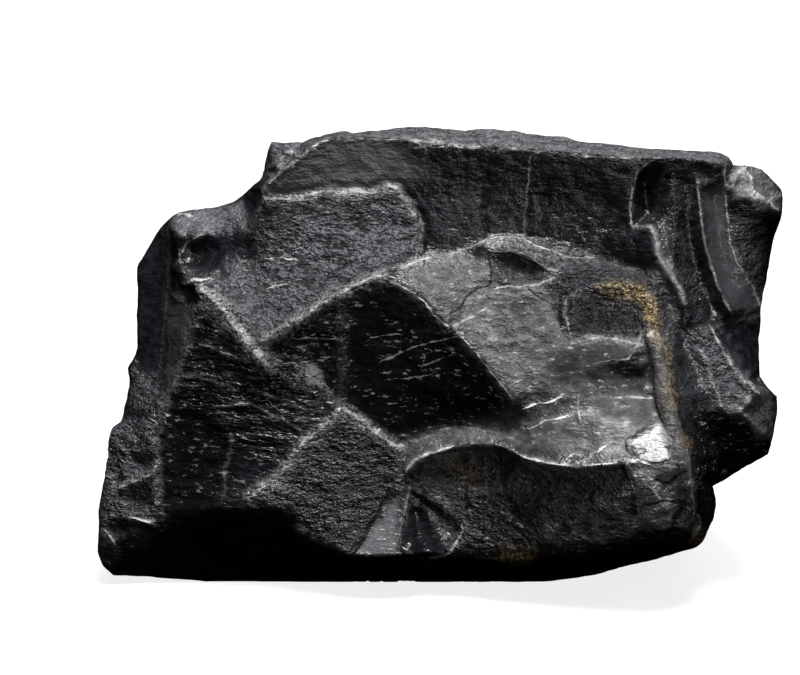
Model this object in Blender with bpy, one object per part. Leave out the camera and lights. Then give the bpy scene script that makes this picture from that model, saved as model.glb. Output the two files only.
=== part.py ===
"""A shungite stone: one solid, black, broken on every side, standing on a flat base.

The stone is described in the frame of its broken face, which leans back from upright.
A point on it is (across, up, out) in millimetres: across runs to the right, up runs up the
leaning face, and out comes straight out of it.
"""

import math
import random

import bmesh
import bpy
import numpy as np
from mathutils import Matrix, Vector, noise
from mathutils.geometry import delaunay_2d_cdt

# Driving dimensions, in millimetres unless they say otherwise.
FACE_LEAN = math.radians(20)  # how far the described face leans back from upright
BASE_OUT = -16.0  # out of the front edge that the stone stands on, where up is 0
BASE_BACK = 34.0  # how far the origin, on the base, lies behind where up and out are both 0
FRONT_STEP = 2.0  # spacing of the front's points along a line and between lines
BACK_STEP = 3.4  # the same on the back, whose breaks are broader
LONGEST_EDGE = 4.6  # an edge longer than this is split, so that steep sides get points too
CLEAR_OF_LINES = 0.72  # a loose point keeps this share of the step from every line
JITTER = 0.22  # how far a loose point strays from its lattice, as a share of the step
ROUGHNESS = 0.11  # height of the uneven break over the whole stone
ROUGHNESS_GRAIN = 4.5  # width of its lumps

# The outline that separates the front from the back, clockwise from the top left.
RIM = [
    (-25.8, 65.4, -7.0), (-25.2, 66.3, -7.0), (-20.7, 66.3, -7.0), (-19.7, 67.0, -7.0),
    (-14.3, 68.1, -6.5), (-13.2, 67.8, -6.5), (-5.7, 68.5, -6.0), (-1.5, 68.7, -6.0),
    (4.5, 67.9, -6.0), (6.6, 68.4, -6.0), (12.0, 67.9, -6.0),
    (18.0, 67.2, -6.0), (22.5, 66.3, -6.0), (24.3, 66.4, -6.0), (30.0, 65.5, -6.0),
    (37.5, 65.1, -6.0), (41.7, 64.9, -6.0), (43.2, 64.0, -6.0), (44.0, 62.9, -5.5),
    (47.3, 62.7, -6.0), (49.2, 61.6, -6.5), (51.0, 59.5, -7.0), (51.6, 57.9, -7.5),
    (51.2, 54.6, -8.0), (50.1, 51.3, -8.5), (49.2, 47.1, -8.5), (48.9, 44.7, -8.0),
    (48.2, 42.1, -8.0), (48.3, 39.6, -8.0), (47.9, 36.1, -8.0), (48.0, 31.2, -6.5),
    (49.2, 29.6, -5.0), (50.6, 28.2, -4.0), (50.7, 26.7, -4.0), (50.1, 21.9, -5.0),
    (49.2, 19.5, -7.0), (45.8, 17.4, -10.0), (41.1, 14.6, -12.0), (41.7, 12.6, -9.5),
    (41.1, 9.6, -9.5), (39.9, 6.5, -12.0), (38.7, 5.3, -14.0), (35.3, 4.4, -14.5),
    (32.3, 3.5, -14.8), (27.0, 2.3, -15.0), (23.9, 1.2, -15.3), (17.7, 0.4, -16.0),
    (15.0, 0.1, -16.8), (0.0, 0.0, -16.8), (-21.0, 0.0, -16.8), (-34.5, 0.1, -16.8),
    (-37.8, 0.5, -16.0), (-43.5, 0.9, -15.3), (-49.2, 1.2, -14.5), (-50.9, 2.6, -13.8),
    (-51.6, 4.7, -13.3), (-51.3, 8.4, -13.3), (-51.5, 11.4, -13.3), (-50.4, 17.1, -13.3),
    (-49.8, 21.2, -13.3), (-49.2, 23.3, -13.3), (-47.9, 24.3, -13.3), (-47.4, 27.2, -13.5),
    (-46.5, 30.5, -14.0), (-47.0, 32.4, -14.0), (-45.5, 34.5, -14.3), (-45.6, 39.9, -15.0),
    (-45.5, 47.7, -16.0), (-43.8, 50.7, -16.0), (-42.0, 53.9, -16.0), (-39.8, 55.8, -15.8),
    (-37.5, 56.3, -15.5), (-33.0, 56.7, -15.0), (-29.6, 58.4, -14.0), (-26.7, 61.2, -11.0),
    (-26.1, 63.9, -8.5),
]

# Sharp lines of the front: crests, steps and the feet of walls.
FRONT_LINES = {
    "top edge of the wall": [
        (-26.6, 59.4, -1.2), (-25.2, 60.9, -0.4), (-21.0, 64.1, 0.2), (-17.0, 66.9, 0.2),
        (-13.5, 67.1, 0.0), (-6.0, 66.9, 0.0), (-2.3, 66.0, 0.0), (3.0, 65.7, 0.0),
        (9.0, 65.6, 0.0), (16.5, 65.1, 0.0), (24.0, 64.4, 0.0), (31.5, 63.8, -0.2),
        (37.5, 63.8, -0.5), (42.9, 62.7, -2.0), (44.0, 62.9, -5.5),
    ],
    "side of the corner knob": [
        (-25.2, 66.3, -7.0), (-25.4, 64.6, -5.4), (-25.8, 62.1, -5.2), (-26.6, 59.4, -1.2),
    ],
    "left edge of the rough patch": [
        (-26.6, 59.4, -1.2), (-26.9, 57.6, -2.4), (-28.0, 54.8, -4.4), (-28.6, 52.8, -5.6),
    ],
    "front edge of the terrace": [
        (-42.0, 53.9, -16.0), (-39.6, 53.0, -10.2), (-38.0, 51.8, -9.0), (-36.0, 52.8, -8.6),
        (-33.6, 52.5, -8.4), (-31.8, 51.9, -7.4), (-28.6, 52.8, -5.6),
    ],
    "front left corner": [
        (-39.6, 53.0, -10.2), (-39.3, 48.2, -9.6), (-39.0, 43.5, -9.2), (-38.3, 40.5, -8.4),
    ],
    "lump under the terrace": [
        (-39.0, 45.3, -8.6), (-36.8, 45.2, -6.2), (-35.0, 45.8, -6.0), (-33.4, 47.2, -6.4),
    ],
    "upper side of the left ridge": [
        (-36.4, 44.2, -5.0), (-35.6, 44.6, -4.8), (-32.7, 42.9, -3.4), (-30.0, 40.2, -1.8),
        (-27.5, 37.8, -0.8), (-26.4, 37.1, 0.2),
    ],
    "lower side of the left ridge": [
        (-36.4, 44.2, -5.0), (-36.0, 42.9, -4.6), (-33.2, 42.0, -3.4), (-31.1, 38.7, -2.2),
        (-28.8, 35.4, -1.4), (-27.6, 32.9, -1.3), (-25.5, 32.4, -1.5), (-26.1, 34.9, -0.7),
        (-26.4, 37.1, 0.2),
    ],
    "crest of the dark facet": [
        (-26.4, 37.1, 0.2), (-23.3, 38.4, 0.3), (-19.5, 41.0, 0.3), (-15.8, 43.4, 0.4),
        (-12.0, 45.2, 0.5), (-8.6, 46.4, 0.7), (-6.0, 45.5, 1.0), (-3.0, 43.4, 1.5),
        (-0.6, 41.1, 1.9), (1.5, 38.9, 2.3), (4.5, 36.2, 3.0), (7.5, 32.4, 4.0),
        (9.8, 29.4, 4.8), (10.8, 28.2, 5.0),
    ],
    "foot of the rough patch": [
        (-25.8, 38.9, -1.4), (-21.0, 41.9, -1.6), (-16.5, 44.1, -1.6), (-12.0, 46.7, -1.7),
        (-8.3, 48.5, -1.9), (-3.8, 50.4, -2.8),
    ],
    "foot of the wall": [
        (-3.8, 50.4, -2.8), (1.5, 49.8, -3.0), (4.5, 50.3, -3.1), (7.5, 51.9, -3.1),
        (10.2, 52.4, -3.1), (12.8, 51.6, -3.1), (15.8, 50.3, -3.1), (18.3, 49.2, -3.2),
        (24.0, 48.6, -3.4), (30.0, 46.7, -3.8),
    ],
    "lip of the high ledge": [
        (4.5, 50.3, -3.1), (7.5, 50.4, -1.2), (9.8, 50.1, -0.7), (12.0, 49.5, -0.5),
        (14.3, 48.6, -0.5), (15.8, 47.1, -0.6),
    ],
    "left side of the dark facet": [
        (-25.5, 32.4, -1.5), (-21.0, 30.6, -2.7), (-17.5, 28.6, -3.6), (-14.7, 26.7, -4.2),
    ],
    "foot of the dark facet": [
        (-14.7, 26.7, -4.2), (-11.3, 24.2, -4.6), (-7.1, 21.5, -4.8), (-3.0, 22.3, -4.2),
        (1.5, 23.9, -3.4), (5.3, 23.7, -2.0), (10.5, 23.2, 0.8), (12.0, 24.6, 2.8),
        (11.6, 26.6, 4.2), (10.8, 28.2, 5.0),
    ],
    "left side of the rough hexagon": [
        (-14.7, 26.7, -4.2), (-18.0, 23.4, -4.9), (-20.6, 21.9, -5.2), (-22.5, 19.2, -5.5),
        (-24.0, 16.5, -5.9), (-28.5, 13.4, -6.6), (-30.8, 11.4, -7.0),
    ],
    "left edge of the big facet": [
        (-36.0, 42.9, -4.6), (-37.0, 40.2, -5.4), (-38.0, 36.2, -6.0), (-39.0, 32.4, -6.8),
        (-40.2, 29.4, -7.4), (-41.7, 25.7, -8.2), (-42.5, 21.9, -8.8), (-42.8, 15.9, -9.6),
        (-43.0, 10.2, -10.2),
    ],
    "groove down the left side": [
        (-41.6, 53.5, -14.6), (-41.6, 48.0, -13.4), (-41.6, 42.9, -12.4), (-41.8, 37.5, -11.4),
        (-42.0, 32.4, -10.8),
    ],
    "top of the undercut": [
        (-51.6, 4.7, -13.3), (-49.5, 6.2, -11.8), (-46.5, 7.4, -11.0), (-43.0, 8.9, -10.4),
        (-39.8, 10.7, -9.3), (-36.0, 11.1, -8.4), (-30.8, 11.4, -7.0), (-21.5, 10.8, -6.3),
        (-21.3, 7.7, -6.6), (-18.0, 6.2, -6.6), (-13.2, 4.4, -5.4), (-6.0, 4.4, -5.0),
        (-1.2, 4.7, -6.4), (3.0, 3.9, -6.6), (9.0, 3.4, -4.8), (18.0, 3.8, -1.8),
        (24.0, 5.7, 1.0), (28.5, 7.4, 2.8), (34.5, 8.4, 2.6), (37.5, 8.7, 0.0),
        (41.1, 9.6, -9.5),
    ],
    "lip of the shelf": [
        (-5.3, 16.7, -5.2), (-3.6, 18.5, -4.4), (0.0, 20.1, -2.6), (4.5, 21.0, -0.4),
        (9.0, 20.9, 2.2), (11.3, 19.7, 4.0), (13.5, 18.6, 5.8), (18.0, 17.9, 7.8),
        (22.5, 17.7, 9.0), (27.8, 18.5, 9.2), (33.8, 18.6, 8.8), (36.5, 17.7, 7.6),
    ],
    "right side of the rough hexagon": [
        (-7.1, 21.5, -4.8), (-5.6, 18.9, -5.0), (-5.3, 16.7, -5.2), (-6.0, 14.4, -5.7),
        (-7.8, 12.9, -6.4), (-10.5, 8.7, -6.2), (-13.2, 4.4, -5.4),
    ],
    "hollow under the lip": [
        (-5.3, 16.7, -5.2), (-1.5, 18.0, -5.6), (3.8, 18.6, -4.6), (7.5, 18.4, -2.9),
        (10.5, 17.2, -0.6), (13.0, 15.8, 1.4), (18.0, 15.2, 3.6), (24.0, 16.2, 6.0),
        (27.0, 16.6, 7.0),
    ],
    "left side of the bright triangle": [
        (-4.8, 14.1, -5.9), (-5.4, 11.0, -5.5), (-6.0, 7.4, -5.1), (-6.0, 4.4, -5.0),
    ],
    "left side of the glossy block": [
        (27.8, 18.5, 9.2), (28.8, 16.2, 8.6), (29.6, 13.7, 7.8), (29.6, 11.4, 6.6),
        (28.8, 9.4, 4.6),
    ],
    "back of the shelf": [
        (19.0, 29.4, 4.6), (22.5, 28.5, 4.4), (27.0, 28.4, 4.0), (32.3, 28.2, 3.8),
    ],
    "left edge of the rib": [
        (30.8, 36.9, 2.6), (31.5, 33.2, 3.2), (32.3, 28.2, 3.8), (33.3, 25.6, 5.0),
        (34.1, 22.4, 6.8), (34.6, 19.6, 8.2), (33.8, 18.6, 8.8),
    ],
    "right edge of the rib": [
        (33.2, 37.2, 2.6), (34.2, 35.4, 2.8), (34.8, 30.9, 3.6), (35.7, 26.4, 4.8),
        (37.2, 21.9, 6.0), (38.6, 18.2, 6.0), (39.4, 14.4, 4.0), (39.8, 11.0, 0.4),
    ],
    "lip over the dark pocket": [
        (24.0, 33.6, 3.9), (26.3, 34.4, 4.1), (28.2, 34.3, 4.0), (29.7, 35.9, 3.2),
        (30.8, 36.9, 2.6),
    ],
    "foot of the rubble hollow": [
        (18.9, 36.6, 2.6), (19.8, 36.3, 2.4), (24.0, 36.9, 2.2), (27.8, 37.2, 2.2),
        (30.8, 38.3, 2.0),
    ],
    "left wall of the rubble hollow": [
        (18.3, 44.4, -0.2), (17.6, 41.7, 0.9), (18.0, 39.2, 1.8), (18.9, 36.6, 2.6),
    ],
    "brown crest": [
        (22.5, 43.6, -1.4), (24.0, 44.4, -1.0), (27.8, 45.4, -0.8), (30.8, 43.8, -0.4),
        (32.3, 40.7, 0.6), (33.2, 37.2, 2.6),
    ],
    "edge of the first column": [
        (31.5, 63.8, -0.2), (30.0, 62.7, -0.4), (29.1, 61.2, -0.7), (28.7, 58.7, -1.1),
        (28.5, 54.6, -1.8), (29.0, 53.6, -1.9),
    ],
    "foot of the first column": [
        (29.0, 53.6, -1.9), (31.5, 53.7, -1.2), (32.6, 51.2, -0.8), (33.0, 48.9, -0.6),
        (34.5, 46.7, -0.3), (36.0, 44.4, 0.0), (36.6, 41.4, 0.0), (36.5, 38.8, -0.6),
    ],
    "blade": [
        (38.4, 61.6, -2.2), (38.7, 59.4, -1.6), (39.2, 55.7, -1.2), (39.5, 51.9, -1.0),
        (40.5, 48.4, -0.8), (42.0, 44.4, -0.6), (43.7, 40.9, -0.5),
    ],
    "back of the blade": [
        (42.9, 62.7, -2.0), (43.0, 58.0, -4.0), (43.2, 54.2, -4.2), (44.0, 51.0, -4.3),
        (45.8, 47.1, -4.5), (48.2, 42.1, -8.0),
    ],
    "foot of the columns": [
        (36.5, 38.8, -0.6), (40.8, 39.2, -1.8), (43.7, 40.2, -2.4), (48.3, 39.6, -8.0),
    ],
    "edge of the right knob": [
        (43.2, 54.2, -4.2), (43.6, 57.4, -3.2), (46.4, 58.0, -2.6), (48.6, 55.7, -4.0),
        (51.2, 54.6, -8.0),
    ],
    "crest of the right block": [
        (40.8, 39.2, -1.8), (42.8, 35.1, -1.0), (44.6, 32.0, 0.0), (47.3, 29.1, 1.0),
    ],
    "foot of the right block": [
        (39.6, 36.2, -1.2), (40.2, 32.4, -0.2), (41.0, 28.9, 0.6), (42.3, 26.9, 0.9),
        (44.3, 26.0, 1.2), (46.0, 27.6, 1.4), (47.3, 29.1, 1.0), (50.6, 28.2, -4.0),
    ],
    "low edge of the right block": [
        (44.3, 26.0, 1.2), (46.5, 24.6, 0.6), (48.2, 22.4, -0.8), (50.1, 21.9, -5.0),
    ],
}

# Soft lines of the front: the surface passes through them without an edge.
FRONT_GUIDES = {
    "corner knob": [(-23.2, 65.0, -4.6), (-22.6, 64.2, -4.4)],
    "hollow under the terrace": [(-37.0, 49.6, -10.0), (-34.8, 50.0, -9.6)],
    "gap under the lump": [(-37.8, 43.8, -8.4), (-37.6, 42.6, -7.6)],
    "floor of the basin": [(-30.8, 47.0, -6.0), (-28.6, 43.6, -4.4), (-26.6, 40.6, -2.6)],
    "middle of the basin": [(-24.0, 46.0, -3.9), (-18.0, 47.0, -3.6)],
    "middle of the rough patch": [(-24.0, 54.0, -3.6), (-15.0, 54.0, -3.4), (-7.0, 54.0, -3.2)],
    "middle of the wall": [(-2.0, 58.5, -2.4), (8.0, 58.5, -2.6), (18.0, 57.5, -2.6), (25.0, 57.0, -2.4)],
    "left of the wall": [(-21.0, 60.4, -1.8), (-14.0, 62.2, -1.9)],
    "dark facet": [(-18.0, 36.0, -1.9), (-9.0, 36.0, -1.7), (-3.0, 31.0, -1.4), (4.0, 28.0, 0.4)],
    "brown facet": [(6.0, 42.9, 0.0), (12.0, 39.9, 1.4), (15.8, 35.4, 3.0), (18.0, 31.4, 4.3)],
    "under the high ledge": [(10.5, 48.0, -1.7), (13.5, 46.6, -1.4)],
    "rubble": [(20.3, 46.4, -2.2), (25.5, 41.1, -0.8), (28.6, 40.6, -0.4)],
    "dark pocket": [(26.4, 31.6, 2.2), (30.0, 31.4, 1.8)],
    "shelf": [(16.0, 25.0, 5.0), (24.0, 23.6, 6.8), (31.0, 23.4, 6.6)],
    "rib": [(32.3, 36.6, 3.7), (33.0, 33.4, 4.5), (33.6, 29.0, 5.5), (34.5, 25.2, 6.6), (35.8, 21.2, 7.6)],
    "valley behind the rib": [(34.2, 42.6, -1.9), (35.2, 39.6, -1.2), (36.8, 36.2, -0.6), (37.6, 31.8, 0.6)],
    "dark wall on the right": [(40.0, 24.0, 0.6), (42.6, 19.6, -4.4)],
    "first column": [(30.7, 60.4, -4.8), (31.2, 56.0, -4.6)],
    "hump between the columns": [(34.8, 60.0, -1.6), (35.3, 54.6, -1.7), (36.0, 49.6, -1.8)],
    "trough": [(41.0, 58.0, -4.3), (41.6, 52.0, -4.2), (43.2, 46.0, -4.1)],
    "valley beside the blade": [(37.4, 59.0, -3.4), (37.5, 52.0, -3.6), (38.8, 46.6, -3.4), (40.8, 41.8, -2.8)],
    "lower face": [(4.0, 12.0, -5.6), (12.0, 11.0, -2.0), (19.0, 11.0, 3.0), (25.0, 12.0, 5.4)],
    "fan": [(-2.6, 10.0, -6.9), (0.6, 8.6, -7.2)],
    "glossy block": [(31.4, 14.4, 9.0), (33.6, 11.6, 7.4)],
    "left flank": [(-46.0, 14.0, -11.6), (-46.4, 20.0, -11.4), (-44.6, 26.6, -10.6)],
    "dark strip": [(-43.8, 40.0, -13.6), (-43.7, 46.0, -14.6)],
    "band beside the groove": [(-40.0, 36.4, -9.0), (-40.8, 32.0, -9.4), (-41.6, 28.6, -9.6)],
}

# Sharp lines of the back, and soft ones. The lines under the base are cut off with it.
BACK_LINES = {
    "back edge of the top": [
        (-26.1, 63.9, -8.5), (-18.0, 64.4, -14.0), (-6.0, 65.4, -15.4), (7.0, 65.2, -16.0),
        (22.0, 63.6, -15.4), (36.0, 61.8, -13.6), (51.0, 59.5, -7.0),
    ],
    "shoulder": [
        (-42.0, 53.9, -16.0), (-36.0, 51.4, -24.0), (-22.0, 54.4, -31.0), (-6.0, 56.4, -34.6),
        (12.0, 55.4, -35.4), (28.0, 52.2, -32.0), (40.0, 48.6, -26.0), (49.2, 47.1, -8.5),
    ],
    "rib of the back": [
        (12.0, 55.4, -35.4), (9.0, 45.0, -42.6), (3.0, 33.0, -48.6), (-3.0, 21.0, -53.4),
        (-6.0, 12.0, -57.4),
    ],
    "left back corner": [
        (-36.0, 51.4, -24.0), (-39.6, 41.0, -31.4), (-41.6, 29.0, -37.0), (-43.2, 18.0, -41.2),
        (-43.6, 10.4, -44.6),
    ],
    "right back corner": [
        (40.0, 48.6, -26.0), (43.0, 38.0, -31.6), (42.4, 28.0, -37.6), (38.6, 19.4, -43.8),
        (34.0, 13.2, -50.0),
    ],
    "ledge on the right of the back": [
        (9.0, 45.0, -42.6), (18.0, 40.4, -43.2), (29.0, 37.6, -41.2), (43.0, 38.0, -31.6),
    ],
    "under the base": [
        (-43.6, 10.4, -44.6), (-30.0, 10.6, -53.6), (-6.0, 12.0, -57.4), (16.0, 12.4, -55.6),
        (34.0, 13.2, -50.0),
    ],
    "under the right": [
        (34.0, 13.2, -50.0), (37.0, 10.2, -38.0), (38.6, 8.4, -26.0), (39.9, 6.5, -12.0),
    ],
    "under the left": [
        (-43.6, 10.4, -44.6), (-47.0, 7.4, -32.0), (-49.0, 4.2, -21.0), (-49.2, 1.2, -14.5),
    ],
}
BACK_GUIDES = {
    "left scar": [(-28.0, 40.0, -38.4), (-20.0, 28.0, -44.6), (-14.0, 40.0, -40.6)],
    "right scar": [(20.0, 30.0, -46.0), (30.0, 26.0, -45.2)],
    "left side": [(-46.4, 38.0, -22.0), (-47.6, 24.0, -26.0), (-48.6, 12.0, -27.0)],
    "right side": [(48.0, 36.0, -18.0), (48.6, 27.0, -20.0), (45.4, 21.0, -27.0)],
    "top slope": [(0.0, 61.4, -24.8), (26.0, 58.6, -24.0)],
    "keel": [(-30.0, 4.6, -34.0), (-8.0, 4.6, -36.0), (14.0, 5.0, -36.0), (28.0, 6.0, -32.0)],
}

# Thumb-like dishes that conchoidal breaks leave: centre across and up, radius, depth.
FRONT_DISHES = [
    (5.0, 58.5, 9.0, 0.7), (-16.0, 35.0, 7.0, 0.8), (1.0, 33.0, 6.0, 0.8), (24.0, 23.0, 6.0, 0.6),
    (-33.0, 27.0, 9.0, 0.7), (-34.0, 5.6, 5.0, 0.8), (-26.0, 46.0, 5.0, 0.5), (45.5, 35.0, 4.0, 0.5),
]
BACK_DISHES = [(-24.0, 34.0, 12.0, 1.2), (24.0, 28.0, 8.0, 0.8)]

# Scars of the flakes that broke off the back and the sides, each a scoop out of a large ball. From
# the stone's middle: degrees round from straight back to the right, degrees up, how far out the
# scoop stops, and the ball's radius.
MIDDLE = (0.0, -9.0, 28.0)
FLAKE_SCARS = [
    (-30, 4, 27.5, 90.0), (24, -4, 27.0, 70.0), (-52, 6, 37.5, 50.0), (62, 6, 38.0, 50.0),
    (5, 37, 28.8, 90.0), (-27, 34, 30.4, 50.0), (44, 26, 35.5, 50.0), (-8, -22, 31.0, 44.0),
    (3, 14, 30.5, 60.0), (82, -14, 46.0, 34.0), (-84, -6, 48.4, 40.0),
]

STONE_BLACK = (0.012, 0.012, 0.013, 1.0)


def sampled(line, step):
    """The line's own points and evenly spaced ones on a smooth curve between them."""
    points = [Vector(p) for p in line]
    ends = [2 * points[0] - points[1], *points, 2 * points[-1] - points[-2]]
    found = []
    for before, a, b, after in zip(ends, ends[1:], ends[2:], ends[3:]):
        count = max(1, round((b - a).length / step))
        for i in range(count):
            t = i / count
            found.append(
                0.5 * (2 * a + (b - before) * t + (2 * before - 5 * a + 4 * b - after) * t * t
                       + (3 * a - before - 3 * b + after) * t ** 3)
            )
    return [*found, points[-1]]


def straight(line, step):
    """A closed line's points with evenly spaced ones on the straight runs between them."""
    found = []
    for a, b in zip(line, line[1:] + line[:1]):
        a, b = Vector(a), Vector(b)
        count = max(1, round((b - a).length / step))
        found += [a.lerp(b, i / count) for i in range(count)]
    return found


class Sheet:
    """One side of the stone: a triangulated height field over the face's own plane."""

    def __init__(self, rim, lines, guides, dishes, step):
        self.step, self.rim = step, len(rim)
        self.flat, self.fixed, self.edges = [], [], []
        self.corners = np.array([(p[0], p[1]) for p in rim])
        for p in rim:
            self.add(p)
        self.edges += [(i, (i + 1) % self.rim) for i in range(self.rim)]
        for line in lines:
            found = [self.point(p) for p in sampled(line, step)]
            found = [i for i in found if i is not None]
            self.edges += [(a, b) for a, b in zip(found, found[1:]) if a != b and max(a, b) >= self.rim]
        for guide in guides:
            for p in sampled(guide, step):
                self.point(p)
        self.scatter()
        self.triangulate()
        self.settle(dishes)

    def add(self, p):
        self.flat.append((p[0], p[1]))
        self.fixed.append(p[2])
        return len(self.flat) - 1

    def point(self, p):
        """The index of an earlier point in this place, or of a new one if it is clear of the rim."""
        away = np.hypot(*(np.array(self.flat) - (p[0], p[1])).T)
        nearest = int(away.argmin())
        if away[nearest] < 0.3:
            return nearest
        if away[: self.rim].min() < 0.7 or not inside(p[0], p[1], self.corners):
            return None
        return self.add(p)

    def scatter(self):
        """Loose points on a jittered lattice, inside the rim and clear of every line."""
        draw = random.Random(3)
        taken = np.array(self.flat)
        low, high = self.corners.min(0), self.corners.max(0)
        rows = int((high[1] - low[1]) / (self.step * math.sqrt(0.75)))
        columns = int((high[0] - low[0]) / self.step)
        for row in range(rows):
            for column in range(columns):
                x = low[0] + (column + 0.5 * (row % 2) + draw.uniform(-JITTER, JITTER)) * self.step
                y = low[1] + (row * math.sqrt(0.75) + draw.uniform(-JITTER, JITTER)) * self.step
                near = np.hypot(*(taken - (x, y)).T).min()
                if near > CLEAR_OF_LINES * self.step and inside(x, y, self.corners):
                    self.add((x, y, None))

    def triangulate(self):
        """Joins the points up, adding more until no edge inside the sheet runs from rim to rim."""
        for _ in range(4):
            flat = [Vector(p) for p in self.flat]
            points, _, faces, origins, _, _ = delaunay_2d_cdt(flat, self.edges, [], 0, 1e-4, True)
            places = np.array([p[:] for p in points])
            faces = [f for f in faces if inside(*places[f].mean(0), self.corners)]
            source = [min(o) if o else None for o in origins]
            sides = {
                tuple(sorted((source[a], source[b])))
                for face in faces
                for a, b in zip(face, face[1:] + face[:1])
                if None not in (source[a], source[b])
            }
            chords = [(a, b) for a, b in sides if b < self.rim and (b - a) % (self.rim - 2) != 1]
            if not chords:
                break
            for a, b in chords:
                middle = (np.array(self.flat[a]) + self.flat[b]) / 2
                self.add((*middle, None))
        self.places = places
        self.faces = np.array(faces)
        self.source = source
        self.heights = [None if s is None else self.fixed[s] for s in source]

    def settle(self, dishes):
        """Stretches a skin over the lines, pressed in at the dishes, and reads its heights."""
        count = len(self.places)
        pull = np.zeros((count, count))
        area = np.zeros(count)
        for turn in range(3):
            a, b, c = (self.faces[:, (turn + k) % 3] for k in range(3))
            u, v = self.places[a] - self.places[c], self.places[b] - self.places[c]
            cross = u[:, 0] * v[:, 1] - u[:, 1] * v[:, 0]
            weight = 0.5 * (u * v).sum(1) / np.maximum(np.abs(cross), 1e-9)
            np.add.at(pull, (a, b), weight)
            np.add.at(pull, (b, a), weight)
            np.add.at(area, c, np.abs(cross) / 6)
        pull[np.diag_indices(count)] = -pull.sum(1)
        press = np.zeros(count)
        for across, up, radius, depth in dishes:
            away = np.hypot(self.places[:, 0] - across, self.places[:, 1] - up)
            press += 4 * depth / radius ** 2 * np.exp(-((away / radius) ** 2))
        fixed = np.array([h is not None for h in self.heights])
        heights = np.array([0.0 if h is None else h for h in self.heights])
        loose = ~fixed
        known = press[loose] * area[loose] - pull[np.ix_(loose, fixed)] @ heights[fixed]
        heights[loose] = np.linalg.solve(pull[np.ix_(loose, loose)], known)
        self.heights = heights


def inside(x, y, corners):
    ahead = np.roll(corners, -1, axis=0)
    spans = (corners[:, 1] > y) != (ahead[:, 1] > y)
    with np.errstate(divide="ignore", invalid="ignore"):
        crossing = corners[:, 0] + (y - corners[:, 1]) * (ahead[:, 0] - corners[:, 0]) / (
            ahead[:, 1] - corners[:, 1]
        )
    return bool((spans & (x < crossing)).sum() % 2)


def add_sheet(mesh, rim, sheet, facing):
    """The sheet's triangles in the bmesh, on the rim's own vertices and facing out of the stone."""
    corners = [
        rim[s] if s is not None and s < len(rim) else mesh.verts.new((x, y, h))
        for s, (x, y), h in zip(sheet.source, sheet.places, sheet.heights)
    ]
    for a, b, c in sheet.faces:
        face = mesh.faces.new((corners[a], corners[b], corners[c]))
        face.normal_update()
        if face.normal.z * facing < 0:
            face.normal_flip()


def upright():
    """The matrix from (across, up, out) in millimetres to the world, in metres."""
    c, s = math.cos(FACE_LEAN), math.sin(FACE_LEAN)
    turn = Matrix(((1, 0, 0, 0), (0, s, -c, -BASE_BACK), (0, c, s, -BASE_OUT * s), (0, 0, 0, 1)))
    return Matrix.Scale(0.001, 4) @ turn


def split_long_edges(mesh):
    for _ in range(3):
        long_edges = [e for e in mesh.edges if e.calc_length() > LONGEST_EDGE * 0.001]
        if not long_edges:
            break
        bmesh.ops.subdivide_edges(mesh, edges=long_edges, cuts=1)
        bmesh.ops.triangulate(mesh, faces=[f for f in mesh.faces if len(f.verts) > 3])


def flake(stone):
    """Cuts each flake's scar out of the stone."""
    for round_by, up_by, reach, radius in FLAKE_SCARS:
        side, rise = math.radians(round_by), math.radians(up_by)
        away = Vector((math.sin(side) * math.cos(rise), math.cos(side) * math.cos(rise), math.sin(rise)))
        bpy.ops.mesh.primitive_ico_sphere_add(
            subdivisions=5, radius=radius * 0.001, location=(Vector(MIDDLE) + away * (reach + radius)) * 0.001
        )
        ball = bpy.context.active_object
        cut = stone.modifiers.new("flake", "BOOLEAN")
        cut.operation, cut.solver, cut.object = "DIFFERENCE", "EXACT", ball
        bpy.context.view_layer.objects.active = stone
        bpy.ops.object.modifier_apply(modifier="flake")
        bpy.data.objects.remove(ball)


def roughen(mesh):
    """An uneven break all over, in the metres that the mesh is in."""
    mesh.normal_update()
    moves = [
        v.normal * ROUGHNESS * 0.001 * noise.fractal(v.co * 1000 / ROUGHNESS_GRAIN, 1.0, 2.0, 3)
        for v in mesh.verts
    ]
    for v, move in zip(mesh.verts, moves):
        v.co += move


def cut_base(mesh):
    """Everything under the floor goes, and one flat face closes the cut."""
    bmesh.ops.remove_doubles(mesh, verts=mesh.verts[:], dist=1e-5)
    bmesh.ops.bisect_plane(
        mesh, geom=mesh.verts[:] + mesh.edges[:] + mesh.faces[:], dist=1e-6,
        plane_co=(0, 0, 0), plane_no=(0, 0, -1), clear_outer=True,
    )
    bmesh.ops.dissolve_degenerate(mesh, dist=1e-6, edges=mesh.edges[:])
    bmesh.ops.holes_fill(mesh, edges=[e for e in mesh.edges if e.is_boundary])


def rough_block():
    """The stone's own form, before the flakes broke away and before the base was cut."""
    outline = straight(RIM, FRONT_STEP)
    front = Sheet(outline, FRONT_LINES.values(), FRONT_GUIDES.values(), FRONT_DISHES, FRONT_STEP)
    back = Sheet(outline, BACK_LINES.values(), BACK_GUIDES.values(), BACK_DISHES, BACK_STEP)
    mesh = bmesh.new()
    rim = [mesh.verts.new(p) for p in outline]
    add_sheet(mesh, rim, front, 1)
    add_sheet(mesh, rim, back, -1)
    bmesh.ops.transform(mesh, matrix=upright(), verts=mesh.verts[:])
    split_long_edges(mesh)
    return mesh


def stone_material():
    material = bpy.data.materials.new("shungite")
    material.use_nodes = True
    shader = material.node_tree.nodes["Principled BSDF"]
    shader.inputs["Base Color"].default_value = STONE_BLACK
    shader.inputs["Roughness"].default_value = 0.35
    return material


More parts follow.
